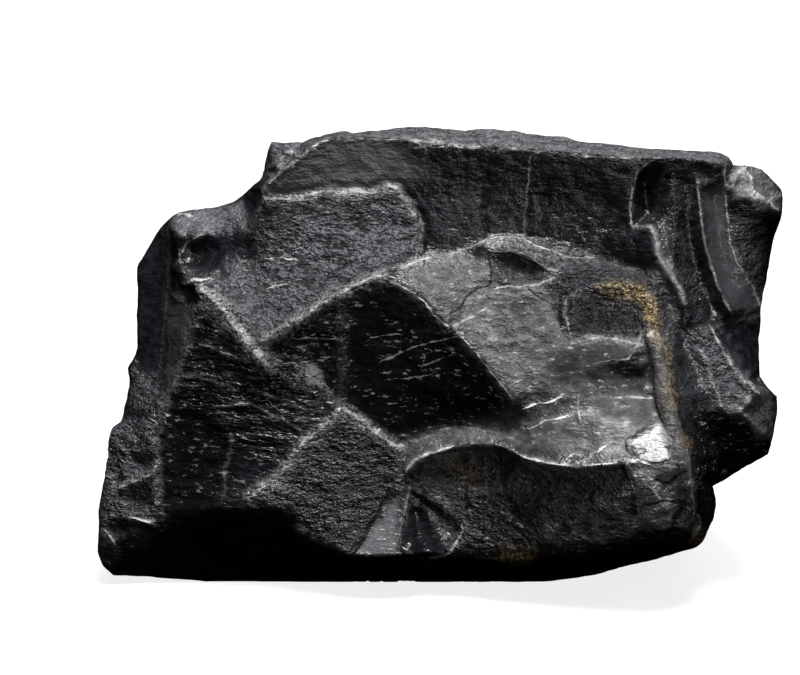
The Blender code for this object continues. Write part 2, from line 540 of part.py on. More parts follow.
def main():
    for old in list(bpy.data.objects):
        bpy.data.objects.remove(old)
    data = bpy.data.meshes.new("shungite_stone")
    block = rough_block()
    block.to_mesh(data)
    stone = bpy.data.objects.new("shungite_stone", data)
    bpy.context.scene.collection.objects.link(stone)
    flake(stone)
    block.clear()
    block.from_mesh(data)
    roughen(block)
    cut_base(block)
    bmesh.ops.triangulate(block, faces=block.faces[:])
    block.to_mesh(data)
    block.free()
    data.materials.append(stone_material())
    data.shade_smooth()
    data.set_sharp_from_angle(angle=math.radians(30))


main()
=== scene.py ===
"""The looks of a shungite stone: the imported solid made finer, its breaks given their own grain,
ribs and cracks, and one stone material whose finish changes from break to break.

Places on the front are (across, up) in the frame of the leaning broken face. They and all lengths
are in millimetres, unless a comment says otherwise.
"""

import math

import bmesh
import bpy
import numpy as np
from mathutils import Matrix, Vector, noise


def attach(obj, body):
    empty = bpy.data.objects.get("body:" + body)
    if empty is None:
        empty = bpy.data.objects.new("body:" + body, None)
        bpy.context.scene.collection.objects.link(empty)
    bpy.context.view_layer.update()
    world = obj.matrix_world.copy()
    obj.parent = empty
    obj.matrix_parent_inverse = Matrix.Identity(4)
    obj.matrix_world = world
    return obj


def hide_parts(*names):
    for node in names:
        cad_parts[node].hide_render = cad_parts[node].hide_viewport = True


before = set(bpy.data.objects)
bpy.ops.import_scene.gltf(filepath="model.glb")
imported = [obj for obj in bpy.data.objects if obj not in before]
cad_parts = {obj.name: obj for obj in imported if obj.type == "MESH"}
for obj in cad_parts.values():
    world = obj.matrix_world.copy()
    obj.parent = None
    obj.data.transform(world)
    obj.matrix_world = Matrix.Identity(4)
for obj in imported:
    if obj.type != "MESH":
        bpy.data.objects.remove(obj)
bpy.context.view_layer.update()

# The leaning face's frame, as the solid has it: its lean, and where it stands.
FACE_LEAN = math.radians(20)
BASE_BACK = 34.0
BASE_OUT = -16.0
ACROSS = np.array((1.0, 0.0, 0.0))
UP = np.array((0.0, math.sin(FACE_LEAN), math.cos(FACE_LEAN)))
OUT = np.array((0.0, -math.cos(FACE_LEAN), math.sin(FACE_LEAN)))
FACE_ORIGIN = np.array((0.0, -BASE_BACK, -BASE_OUT * math.sin(FACE_LEAN)))
FRONT = (-0.12, 0.05)  # how squarely the surface faces out where the front's marks start and are full

MOST_FACES = 8200
SPLITS = 2
ROUNDED_TURN = 18
SHARP_TURN = 42
MERGED = 2e-5  # metres between corners that are one corner
DEGENERATE = 1e-5  # metres under which an edge is none

# The camera: the point it looks at (across, up, out of the face), metres off, lens and sensor.
AIM = (-6.0, 37.0, -3.0)
CAMERA_AWAY = 3.0
LENS = 900.0
SENSOR = 36.0
CAMERA_REACH = 60.0  # metres

# Soft boxes: name, degrees round from the front to the right, degrees up, metres off, metres wide, watts.
LIGHTS = [
    ("key", 22, 77, 0.9, 0.30, 18.5),
    ("left", -40, 62, 1.0, 0.60, 1.1),
    ("low", 24, 5, 1.2, 0.40, 4.2),
    ("back", 165, 40, 1.0, 0.5, 5.0),
    ("right", 85, 40, 1.0, 0.3, 1.0),
]
LIT_POINT = (0, 0, 0.03)  # metres
SKY = 0.05  # the glow from above
SKY_RISE = (-0.05, 0.4)  # the sines of the heights where that glow starts and is full
FLOOR_SIZE = 30.0  # metres
FLOOR_GLOW = 0.82  # of full white

# Uneven relief by where it is: how high, how wide its lumps are, octaves, and how it is squeezed
# across, front to back and up. A squeeze under 1 draws it out.
RELIEF = {
    "_all over": (0.16, 5.0, 3, (1, 1, 1)),
    "ribbed": (0.25, 2.4, 3, (0.45, 0.7, 1)),
    "_unpolished": (0.12, 1.8, 3, (1, 1, 1)),
    "crumbled": (0.3, 1.5, 3, (1, 1, 1)),
    "_lumpy": (0.5, 2.8, 4, (1, 1, 1)),
    "brown": (0.24, 3.0, 1, (1, 1, 1)),
}
CRUSHED = (0.2, 3.0)  # how high the sharp grain of the crushed patches is, and how wide
POLISHED_AWAY = 0.8  # the share of the finest relief that a glossy break lacks
BACK_GRAIN = (0.2, 0.6, 14.0)  # the least grain at the back, how much more in patches, and their width
PATCH_EDGE = (-0.3, 0.5)  # where the noise of those patches starts to count, and where it is full
LINES_WANDER = 0.16  # how far a line strays from its points
OUTLINES_WANDER = 0.5
WANDER_WIDTH = 1.6
ELSEWHERE = 0.3  # metres to a part of the noise that is unlike the first
STEP_WIDTH = 0.35  # across a ledge
STEP_REACH = 1.6  # from a ledge to where the stone is level again
RIDGE_PROFILE = 1.5  # 0.5 is a round rib; more is one that runs out softly at its foot
CRACK_DEPTH = 0.2
CRACK_SHOULDER = 0.25  # how much wider than its line a crack is carved
LINE_REACH = 4  # the farthest that the material is told of
CRACK_REACH = 9  # the same, in widths of the crack
BASE_FADE = (0.05, 0.8)  # heights where the relief starts and is full, so that the base stays flat

# The material's patterns: width, octaves, how harsh the finer octaves are, and the squeeze. The grit
# of crushed stone, its striae and the specks of stain are about 0.1 wide in real stone, and they are
# drawn coarser so that they show. Chips and hackles have their real width.
PATTERNS = {
    "grit": (0.5, 1.5, 0.6, (1, 1, 1)),
    "chips": (1.3, 3.5, 0.65, (0.62, 0.8, 1)),
    "cloudiness": (8.0, 3.0, 0.55, (1, 1, 1)),
    "hackles": (1.5, 3.0, 0.62, (0.28, 0.5, 1)),
    "striae": (0.45, 3.0, 0.62, (0.28, 0.5, 1)),
    "wear": (2.6, 3.0, 0.55, (1, 1, 1)),
    "stain": (0.4, 3.0, 0.7, (1, 1, 1)),
}
STONE_IOR = 1.4  # under the 1.5 or more of a clean face, because no break here is quite clean
# The settings of a ramp with eased ends, and of a mix of colours.
EASED = {"interpolation_type": "SMOOTHSTEP"}
COLOURS = {"data_type": "RGBA", "output": 2}

# Lines and outlines that more than one table below uses.
COLUMN_RIB = [
    (31.6, 53.4), (32.4, 51.6), (32.7, 49.4), (33.3, 47.9), (34.8, 45.9), (36.1, 43.8), (36.6, 42.1),
]
LESSER_RIB = [(33.8, 52.8), (34.2, 50.1), (35.2, 47.1)]
BLOCK_FOLD = [
    (39, 35.1), (40.2, 32.9), (40.5, 30.6), (41.4, 28.8), (41.7, 27.3), (43.2, 25.8), (45, 26.1),
    (46.2, 27.9),
]
KNOB_FOLD = [(45.6, 62.3), (44.4, 61.2), (43.7, 59.7)]
LONG_KNOB_FOLD = [(46.5, 61), (46.9, 59.1), (48.8, 57.2), (50.3, 56.1)]
LOW_LEFT = [(-51, 24), (-43, 25), (-42.5, 11), (-51, 9)]
DARK_FACET_LEFT = [(-25.6, 36), (-15.5, 42.2), (-14.8, 35), (-15, 27.6), (-20.5, 31)]
LOWER_FACE = [(3, 14.5), (27, 16), (37, 16), (37, 8), (24, 5.5), (3, 5.5)]
TRIANGLE = [(-6, 14), (-7.6, 12), (-13, 4.4), (-6.6, 4.4)]

# Worn edges and seams that catch the light: how brightly the chipped edge itself glints, how much
# the stone beside it is bruised grey and lit by a painted highlight, how wide that is, how far the side
# on its left stands out, and the line.
CRESTS = {
    "rim of the wall": (1, 1, 0.3, 0, (-26.4, 59.1), (-25.5, 60.3), (-24, 61.6), (-21, 63.9), (-19.5, 65.1),
        (-18, 66.1), (-16.8, 66.6)),
    "top edge of the wall": (0.35, 0.4, 0.5, 0, (-16.8, 66.6), (-13.5, 66.6), (-6, 66.6), (-3, 66.5),
        (0, 66.3), (3, 65.5), (6, 65.4), (7.9, 64.8), (9, 65.2), (13.5, 65), (19.5, 64.3), (24, 64),
        (30, 63.6)),
    "upper edge of the rough patch": (0.35, 0.6, 0.5, -0.35, (-26.2, 57.9), (-22.5, 57.8), (-21, 58),
        (-18, 58.8), (-16.5, 59.1), (-14.2, 58.8), (-12, 58.9), (-10.2, 58.6), (-9.3, 59.2), (-7.8, 59.7),
        (-6.3, 59.4), (-5.7, 58.3), (-4.6, 57.3), (-4.3, 56.1), (-3.4, 55), (-3, 53.7), (-3.3, 51.6),
        (-3.6, 50.1)),
    "left edge of the rough patch": (0.4, 0.4, 0.4, 0.2, (-26.4, 57.9), (-27.3, 55.8), (-28.5, 52.8)),
    "lip of the terrace": (0.9, 0.3, 0.4, 0, (-36, 52.4), (-37.9, 51.4), (-39, 49.4)),
    "glint on the terrace": (0.8, 0.2, 0.4, 0, (-40.5, 55.5), (-39, 55.6), (-37.8, 55.4)),
    "glint under the terrace": (0.9, 0.3, 0.4, 0, (-38.1, 45.1), (-36.6, 45.4), (-35.1, 45.3)),
    "left ridge": (0.2, 1, 1.2, 0, (-36, 44.1), (-34, 42.6), (-32.7, 41.5), (-31.2, 39.3), (-29.5, 37.4),
        (-28.5, 35.9), (-27.3, 34.8), (-26.1, 32.4)),
    "crest left of the dark facet": (0.45, 0.8, 1, 0, (-26.7, 36.6), (-25.2, 37), (-23.2, 37.8), (-21, 39.6),
        (-18.8, 41.2), (-16.5, 42.6), (-14.2, 43.9), (-12, 45.1), (-9.8, 46.2), (-8.2, 45.8)),
    "crest right of the dark facet": (0.9, 0.3, 0.5, 0, (-8.2, 45.8), (-6, 44.9), (-4.2, 43.8), (-2.2, 42.1),
        (-1.1, 40.5), (0.8, 38.9), (2.2, 38.1), (3.8, 36.6), (5.2, 34.8), (6.8, 32.9), (8.2, 30.9),
        (9.8, 29.1), (10.7, 27.9)),
    "foot of the dark facet": (0.35, 0.8, 0.8, 0, (-14.2, 26.1), (-12, 24.6), (-9.8, 22.8), (-7.5, 21.3),
        (-6, 20.1)),
    "left side of the hexagon": (0.25, 0.8, 0.9, 0, (-15, 25.8), (-17.2, 23.8), (-19.5, 22.3), (-21, 20.8),
        (-22.1, 18.6), (-23.6, 17.1), (-24.3, 15.6), (-26.7, 14.4), (-28.5, 13)),
    "side of the fan": (0.15, 0.2, 0.4, 0, (-4.5, 14.4), (-5.7, 8.8), (-6.6, 5.4)),
    "foot of the fan": (0.6, 0.4, 0.4, 0, (-0.8, 3.9), (1.5, 4.6), (2.7, 6.6), (3.3, 8.1)),
    "brow": (0.9, 0.4, 0.4, 0, (-6, 47.4), (-4.2, 48.3), (-1.9, 48.9)),
    "high ledge": (0.6, 0.5, 0.5, 0, (1.5, 49.5), (4.5, 50.4), (6.8, 51.1), (8.2, 51.8), (10.5, 52),
        (12.3, 51.6), (14.2, 50.7), (16.5, 49.8), (19.5, 48.9), (22.5, 48.9)),
    "first squiggle": (1, 0.2, 0.3, -0.15, (12.8, 26.4), (14.2, 27.1), (16.5, 27.4), (18, 28.2)),
    "second squiggle": (1, 0.2, 0.3, -0.15, (13.5, 23.4), (15.8, 24.6), (18.8, 25.1)),
    "step on the brown facet": (0.5, 0.2, 0.3, -0.2, (2.2, 38.9), (4.5, 39.9), (7.2, 41.5)),
    "lip of the rubble hollow": (0.3, 0.6, 0.5, 0, (19.5, 37.4), (22.5, 36.8), (26.2, 36.9), (30, 36)),
    "lip of the dark pocket": (0.4, 0.5, 0.5, 0.2, (30, 37.4), (29.2, 35.4), (28.2, 33.9), (24, 33.3)),
    "foot of the glass patch": (1, 1, 0.25, 0, (28.9, 18.3), (31, 18.1), (33, 18.2)),
    "back of the shelf": (0.5, 0.3, 0.3, -0.15, (24, 28.1), (28.2, 28.2), (32.2, 27.8)),
    "lip of the shelf": (1, 0.9, 0.35, 0, (-5.2, 16.8), (-3.8, 18.6), (-1.5, 19.6), (0.8, 20.3), (4.5, 20.8),
        (9, 20.8), (10.5, 19.9), (13.5, 18.8), (16.5, 18.1), (20.2, 17.6), (24, 18.1), (27, 18.2),
        (29.2, 18.8), (32.2, 18.1), (34.5, 17.6)),
    "band over the lip": (0.1, 0.3, 1, 0, (-6, 20.4), (-3, 21.6), (0, 23.1), (3, 23.8), (6, 23.1), (9, 22.6),
        (12, 23.4)),
    "rim of the raised patch": (0.5, 0.4, 0.3, 0, (32.1, 14.1), (32.6, 13.3), (33.4, 12.9), (35, 12.7),
        (36, 12.8)),
    "side of the glossy block": (0.3, 0.3, 0.4, 0, (27.8, 17.8), (28.5, 15.6), (29.2, 13.3), (29.5, 11.1),
        (29.1, 9.3)),
    "left of the rib": (0.1, 0.3, 0.4, 0, (30.8, 36.6), (31.5, 34.4), (31.9, 30.6), (32.4, 27.6),
        (33.3, 24.6), (34.2, 21.6), (35.2, 19.3)),
    "right of the rib": (0.1, 0.2, 0.3, 0, (32.2, 37.4), (33.6, 35.1), (34, 32.9), (34.5, 28.3), (35.1, 25.3),
        (36.3, 21.6), (37.2, 15.6), (37.5, 8.1)),
    "edge of the first column": (0.4, 0.25, 0.3, 0, (32.2, 63.6), (30.8, 63), (29.5, 61.8), (29.1, 59.8),
        (28.6, 57.6), (28.5, 55.4), (28.6, 53.9)),
    "ledge in the column": (0.2, 0.4, 0.3, 0, (28.9, 53.4), (31.5, 53.5)),
    "rib of the first column": (0.15, 0.25, 0.4, 0, *COLUMN_RIB),
    "lesser rib of the column": (0, 0.25, 0.4, 0, *LESSER_RIB),
    "left of the trough": (0.2, 0.15, 0.25, 0, (38.7, 59.1), (39.1, 54.6), (39.6, 51.6), (40.5, 48.3),
        (41.5, 44.9), (42.6, 42.6), (43.9, 40.2)),
    "right of the trough": (0.3, 0.2, 0.3, 0, (42.6, 62.1), (42.9, 57.6), (43.5, 51.6), (44.2, 48.9),
        (45.8, 46.4), (47.2, 44.1), (48, 41.9)),
    "front of the knob": (0.15, 0.3, 0.4, 0, (42.8, 59.8), (45.3, 62.4)),
    "side of the knob": (0.1, 0.3, 0.4, 0, (45.3, 62.1), (46.5, 58.3)),
    "foot of the knob": (0.3, 0.5, 0.4, 0, (46.5, 58), (49.2, 57.6), (50.7, 58.3)),
    "crest of the right block": (0.4, 0.3, 0.3, 0, (40.8, 38.1), (42.3, 35.1), (44.2, 32.1), (45.8, 30.1),
        (47.2, 28.8)),
    "lower lip of the right block": (0.15, 0.5, 0.4, 0, *BLOCK_FOLD),
    "left edge of the big facet": (0, 0.3, 0.6, 0, (-36.4, 42.6), (-37, 40.4), (-37.8, 37.4), (-38.5, 35.1),
        (-39, 32.9), (-39.4, 30.9), (-40.8, 28.3), (-42, 24.6), (-42.3, 20.1), (-42.6, 12.6)),
    "dash on the left": (0.8, 0.2, 0.3, 0, (-42, 25.2), (-40.5, 25.2)),
    "low left ridge": (0.6, 0.5, 0.5, -0.3, (-48, 14.4), (-45.8, 15.4), (-43.5, 16.3)),
    "low left streak": (0.6, 0.3, 0.4, -0.2, (-46.2, 9.9), (-43.5, 9.2)),
    "low left corner": (0.5, 0.3, 0.5, 0, (-50.5, 8.1), (-49.5, 6.9), (-48.8, 5.8)),
    "line down the wall": (0.15, 0.25, 0.2, 0, (13.5, 63.9), (13.2, 60.6), (12.9, 57.6), (12.6, 53.9),
        (12.6, 51.9), (13, 51.3)),
    "line in the wall": (0.3, 0.1, 0.2, 0, (-3.6, 65.4), (2.2, 65.7)),
    "first scratch": (0.3, 0, 0.2, 0, (-21, 36.8), (-15, 36.8)),
    "second scratch": (0.3, 0, 0.2, 0, (-10.2, 36.9), (-6.6, 37.6)),
    "third scratch": (0.25, 0, 0.2, 0, (-8.2, 33.6), (-3.8, 35.7), (4.5, 37.6)),
    "fourth scratch": (0.25, 0, 0.2, 0, (-6, 30.8), (-2.2, 31.3)),
    "fifth scratch": (0.25, 0, 0.2, 0, (-2.2, 32.9), (1.5, 34.4)),
    "band down the dark facet": (0, 0.2, 0.9, 0, (-15.3, 42.6), (-15.1, 34.4), (-15.3, 27.6)),
    "dashes in the basin": (0.7, 0.1, 0.2, 0, (-25.5, 48.8), (-24, 48.9), (-22.3, 48.8)),
    "lower dashes in the basin": (0.6, 0.2, 0.4, 0, (-25.5, 44.5), (-23.6, 44.9), (-21.6, 44.5)),
    "top end of the rib": (0.9, 0.9, 0.5, 0, (31, 36.2), (31.1, 37), (31.8, 37.3)),
    "upper flow line": (0.7, 0.9, 0.35, 0.15, (-37.5, 35.6), (-36, 35.8), (-34.1, 35.3), (-32.3, 34.5),
        (-30.4, 34), (-28.9, 33.4)),
    "second flow line": (0.7, 0.9, 0.35, 0.15, (-38.6, 31), (-36.8, 31.2), (-34.9, 30.6), (-32.6, 29.7),
        (-30.8, 29.1)),
    "short flow line": (0.4, 0.7, 0.3, 0.15, (-32.6, 31.4), (-30.8, 31.5), (-28.5, 31), (-26.3, 30.6)),
    "long flow line": (0.7, 0.9, 0.35, 0.15, (-33.8, 26.8), (-31.9, 26.7), (-30.4, 27), (-28.5, 27),
        (-26.6, 26.3), (-25.5, 25.4), (-23.6, 25), (-22.5, 23.9), (-21, 23.1)),
    "last flow line": (0.4, 0.7, 0.3, 0.15, (-28.5, 29.1), (-26.6, 28.7), (-24.8, 28), (-22.5, 27.2),
        (-20.3, 26.1), (-18, 25.4)),
    "seam of the big facet": (0.05, 0.35, 0.3, 0, (-31.5, 22.7), (-31.4, 20.9), (-31.9, 18.2), (-32.6, 17.3),
        (-32.3, 15.2), (-32.6, 13)),
    "lip of the upper hollow": (0.6, 0.6, 0.3, 0, (7.8, 49.9), (11, 49.7), (15, 47.9), (17.5, 47.1)),
    "foot of the upper hollow": (0.7, 0.5, 0.3, -0.2, (8.5, 44.4), (10.2, 44.8), (12, 44.6), (15, 45.2),
        (17, 45.9)),
    "marks on the shelf": (0.6, 0.2, 0.3, 0, (20.7, 28.4), (20.5, 26.6), (21, 25)),
    "glints by the lip": (0.8, 0.3, 0.3, 0, (18.9, 18.9), (19.8, 19.7), (20.8, 19.4)),
    "more glints by the lip": (0.8, 0.3, 0.3, 0, (23.8, 20.1), (25, 21), (26, 21.5)),
    "bar by the rubble": (0.3, 0.5, 0.35, 0, (18.9, 42.4), (18.7, 40.4), (19.2, 38.6), (19.6, 37)),
    "fold on the knob": (0.4, 0.4, 0.3, 0, *KNOB_FOLD),
    "long fold on the knob": (0.5, 0.4, 0.3, 0, *LONG_KNOB_FOLD),
    "arc on the corner knob": (0.4, 0.2, 0.3, 0, (-23.7, 64), (-22.5, 65), (-21.4, 64.3)),
}

# Hairline cracks and the shadowed creases under small overhangs: depth, width, line.
CRACKS = {
    "wall, short": (0.8, 0.15, (3, 65.4), (4, 63.6)),
    "wall, long": (0.9, 0.15, (7.5, 64.6), (7, 62.1), (6.6, 60.1), (6.1, 57.6), (6, 54.9), (6.8, 52.8),
        (6.6, 51.6)),
    "wall, branch": (0.6, 0.15, (5.2, 61), (6.6, 60), (7.6, 59.8)),
    "brown facet, long": (1, 0.2, (1.9, 40.8), (3, 41.4), (3.6, 42.6), (4.5, 43.6), (5.7, 44.4), (7.5, 44.9),
        (7.8, 47.1), (7.2, 48.9)),
    "brown facet, right": (0.9, 0.2, (13.5, 44.1), (15, 43), (16.2, 42.3)),
    "brown facet, upper right": (0.8, 0.2, (16.2, 45.6), (18, 46.4)),
    "right foot of the hexagon": (1, 0.4, (-7.7, 13.4), (-9.2, 10.6), (-10.9, 7.8), (-12.9, 4.4)),
    "left of the bar": (1, 0.45, (18.1, 42.8), (17.8, 40.4), (18.3, 38.2)),
    "lower face": (0.8, 0.25, (3.9, 14.8), (3.6, 12), (3.9, 9.4)),
    "left of the glossy block": (1, 0.8, (27.5, 17.2), (28.4, 15.3), (29, 12.8), (29, 10.4)),
    "right of the glossy block": (1, 0.4, (37.8, 14.5), (37.7, 12), (37.5, 10), (36.9, 8.4), (36.3, 7.4)),
    "left of the blade": (1, 0.5, (36.3, 12.4), (35.8, 10.8), (35, 9.2), (34.9, 8.4)),
    "notch in the glossy block": (1, 0.35, (32.6, 15.6), (33.4, 15.2), (34.6, 15.1), (35, 16), (35.8, 16.7)),
    "left side": (0.9, 0.5, (-40.8, 53.4), (-40.8, 48.3), (-40.8, 42.6), (-41.5, 38.1), (-42, 32.1),
        (-43.2, 30.1)),
    "glossy block": (0.9, 0.3, (30.4, 11.7), (32, 11.9), (33.2, 12.4), (34.8, 12.5), (35.8, 12.1)),
    "foot of the columns": (1, 0.6, (37.5, 38.7), (42, 39.3), (45, 39.9), (48.3, 40.6)),
    "under the high ledge": (1, 0.5, (7.5, 49.5), (9, 49.8), (11.2, 49.4), (13.5, 48.4), (15.8, 47.1)),
    "under the brow": (0.6, 0.3, (-14.2, 45.3), (-12, 46.8), (-8.2, 47.9), (-6, 48.4)),
}

# Rounded ribs and folds: height, half width, line.
RIDGES = {
    "grey rib": (1.1, 1.5, (31.8, 37), (32.5, 34.8), (33, 32.1), (33.4, 28.3), (34.2, 24.9), (35.2, 21.6),
        (36.3, 18.3), (37.2, 14.1), (37.5, 8.4)),
    "rib of the first column": (0.6, 0.8, *COLUMN_RIB),
    "lesser rib": (0.3, 0.6, *LESSER_RIB),
    "left ridge": (0.35, 0.9, (-36, 44.1), (-34, 42.6), (-31.2, 39.3), (-28.5, 35.9), (-26.1, 32.4)),
    "seam of the hexagon": (0.3, 0.9, (-15, 26.1), (-17.2, 24.1), (-21, 21.1), (-23.6, 17.4), (-26.7, 14.7),
        (-28.8, 13)),
    "foot of the dark facet": (0.25, 0.8, (-14.5, 26.4), (-9.8, 23.1), (-5.7, 20.1)),
    "crest of the right block": (0.7, 0.8, (39.6, 37.2), (40.8, 38.1), (42.3, 35.1), (44.2, 32.1),
        (45.8, 30.1), (47.5, 28.5)),
    "fold in the right block": (0.5, 0.6, *BLOCK_FOLD),
    "high ledge": (0.5, 0.8, (4.5, 50.4), (6.8, 51.1), (9, 51.8), (12, 51.6), (14.2, 50.7), (16.5, 49.8),
        (19.8, 48.9)),
    "lip in the middle": (0.5, 0.8, (-5.2, 17.1), (-3.3, 18.8), (-1.2, 19.6), (1.2, 20.2)),
    "first fold of the knob": (0.4, 0.7, *KNOB_FOLD),
    "second fold of the knob": (0.5, 0.8, *LONG_KNOB_FOLD),
    "third fold of the knob": (0.4, 0.7, (48, 61.7), (49.9, 59.9), (51.6, 58)),
    "streak on the brown facet": (0.3, 0.5, (9, 37.6), (13, 39), (17.5, 40.1)),
    "lower streak on the brown facet": (0.3, 0.5, (11, 36.1), (14, 37.3), (17.5, 38.1)),
    "stripe on the right end": (0.4, 0.5, (45.6, 27.6), (47.4, 26.6), (49, 24.4)),
    "second stripe on the right end": (0.4, 0.5, (44.4, 26.4), (46.4, 24.6), (47.6, 22)),
    "bar by the rubble": (0.5, 0.5, (18.6, 42.3), (18.4, 40.4), (18.9, 38.6), (19.3, 36.9)),
    "fold of the corner knob": (0.4, 0.7, (-25.2, 62.4), (-23.7, 64.2), (-22.5, 65), (-21.4, 64.3)),
    "folds of the low left": (0.8, 1.1, (-48, 14.4), (-45.8, 15.4), (-43.2, 16.6)),
    "lower fold of the low left": (0.6, 0.9, (-48, 9.3), (-45.8, 9.8), (-43.2, 9)),
    "fold under the terrace": (0.4, 0.9, (-39.3, 47.4), (-37.5, 45.6), (-35.1, 45.1), (-33.9, 46.8)),
    "wave on the glossy block": (0.5, 0.8, (31.2, 10.3), (33, 8.4), (34.2, 9.6)),
    "blade on the glossy block": (0.6, 0.7, (37.1, 13.6), (36.9, 11.8), (36.4, 10), (36, 8.8)),
    "thin strip by the blade": (0.4, 0.4, (37.9, 10.6), (38.2, 9.4), (37.8, 8.4), (36.8, 7)),
    "lump on the glossy block": (0.6, 1.2, (32.4, 10.2), (33.4, 9.4), (34, 10.2)),
}

# Hollows: depth, how far the edge slopes, outline.
HOLLOWS = {
    "pocket under the terrace": (0.6, 0.9, (-38.5, 51.3), (-35.5, 51.4), (-34.9, 48.9), (-36.6, 47.5),
        (-38.5, 48.3)),
    "gap under the lump": (0.8, 0.7, (-39, 44.2), (-36.9, 44.4), (-36.8, 42.1), (-38.7, 41.7)),
    "hollow under the lip": (1.3, 1.5, (-1.2, 18.9), (2.2, 19.6), (9, 19.8), (11.1, 18.3), (9, 15.3),
        (0, 14.8)),
    "second hollow under the lip": (0.9, 1.4, (12, 16.8), (18, 16.5), (24, 16.5), (22.5, 13.5), (13.5, 12.6)),
    "hollow under the high ledge": (0.8, 0.8, (7.8, 49), (10.8, 49.2), (13.5, 48.3), (15.8, 46.8), (15, 45),
        (10.8, 45)),
    "rubble hollow": (0.6, 1.4, (19.4, 42.6), (22, 43.9), (26, 44.4), (29.6, 44), (31.2, 40.4), (30.4, 38.4),
        (26.3, 38.1), (22, 38), (19.5, 38.6)),
    "pocket in the low left": (1, 0.7, (-46.5, 19.2), (-43.5, 19.1), (-43.2, 16.9), (-46.2, 16.8)),
    "slot in the low left": (0.7, 0.6, (-49.8, 19.8), (-48.1, 19.3), (-48.3, 13.8), (-49.6, 14.1)),
    "lower pocket in the low left": (0.7, 0.8, (-47.1, 13.5), (-43.5, 14.1), (-43.2, 11.4), (-46.8, 11.1)),
    "pit on the brown facet": (0.4, 0.5, (1.5, 40.2), (3, 40), (2.9, 38.9), (1.6, 39)),
    "gap by the right block": (0.9, 0.8, (36.3, 38.4), (38.9, 38.7), (39, 35.4), (36.6, 35.1)),
    "dip in the glossy block": (0.5, 1, (30, 15.9), (34.2, 16.5), (35.4, 12.6), (31.5, 11.8), (30.1, 12.9)),
    "left end of the fan": (0.5, 0.8, (-4.2, 13.3), (-2.2, 12.6), (-3, 6.6), (-5.4, 5.8)),
}

# The breaks that have each finish, painted light or painted shade: how far the edge fades, how strong it is,
# outline.
FINISHES = {}
FINISHES["grain"] = {  # crushed, grainy and grey, with painted shade in its pits and its low grit
    "rough patch": (0.8, 1, (-26.2, 57.9), (-20, 58.2), (-10, 58.8), (-6, 59.3), (-3.2, 54), (-3.6, 50),
        (-8.5, 47.5), (-12, 47), (-16, 44.5), (-21, 42), (-26, 46), (-28.5, 52.8)),
    "basin": (1.2, 0.7, (-32, 48.5), (-26, 48), (-16, 44.3), (-21, 41), (-26.6, 37.3), (-29, 39), (-33, 43)),
    "hexagon": (0.8, 0.65, (-15, 25.8), (-6.2, 20), (-5.6, 14), (-8, 12.4), (-13.4, 4.2), (-21.3, 7.6),
        (-21.4, 10.6), (-28.5, 13), (-24.2, 15.8), (-21, 20.8)),
    "top strip": (0.5, 0.8, (-27, 68), (-12, 70), (52, 68), (44, 62.8), (37, 63.7), (24, 64.3), (9, 65.6),
        (-6, 66.9), (-17, 66.9), (-26.6, 59.6)),
    "terrace": (0.8, 0.5, (-42, 57), (-30, 57.5), (-29, 53), (-36, 52.6), (-39.6, 52.6)),
    "shoulder under the terrace": (0.8, 0.5, (-39, 48), (-32, 46), (-28, 42), (-34, 40.5), (-39, 42)),
    "rubble hollow": (0.8, 1, (18.6, 42.6), (22, 44.6), (27, 45.4), (31.4, 44.6), (33, 39), (31.2, 37.6),
        (26.3, 37.6), (19.4, 37.6)),
    "upper hollow": (0.8, 0.6, (8, 48.8), (15, 48.2), (15.5, 45), (9, 45)),
    "streaks under the upper hollow": (1.5, 0.5, (8, 44.5), (16, 44.5), (14, 40), (9, 40.5)),
    "dark column": (1, 0.45, (33, 63), (38.6, 62.6), (38.5, 50), (42, 43), (37, 42), (33.5, 52)),
    "band over the rubble": (1, 0.8, (9, 50), (15, 51.5), (26, 48), (33, 46), (36, 40), (35.4, 36),
        (32.6, 38), (31.6, 45), (24, 46), (18, 46.6)),
    "dark face under the knob": (0.8, 0.5, (43.5, 57), (49, 56), (48.5, 43), (46, 47), (43.8, 51)),
    "right block": (0.8, 0.7, (36.5, 38.5), (41, 38.2), (47, 29), (44, 26), (40, 29.5), (38.5, 34)),
    "low left": (1, 0.7, *LOW_LEFT),
    "strip on the left": (0.8, 0.6, (-46, 32), (-42.5, 31.5), (-41.5, 26), (-47, 26)),
    "hollow under the lip": (1, 0.7, (-1, 20), (10, 19.5), (12, 16.5), (6, 14.5), (-3, 15.5)),
    "second hollow under the lip": (1, 0.6, (12, 17), (24, 16.5), (22, 13), (13, 12.8)),
    "glossy block": (0.8, 0.3, (27, 17), (37, 17), (38, 8.5), (29.5, 8)),
    "lower face": (2, 0.75, (-1, 14), (27, 14.6), (28.6, 7.6), (20, 4.4), (2, 4.6)),
}
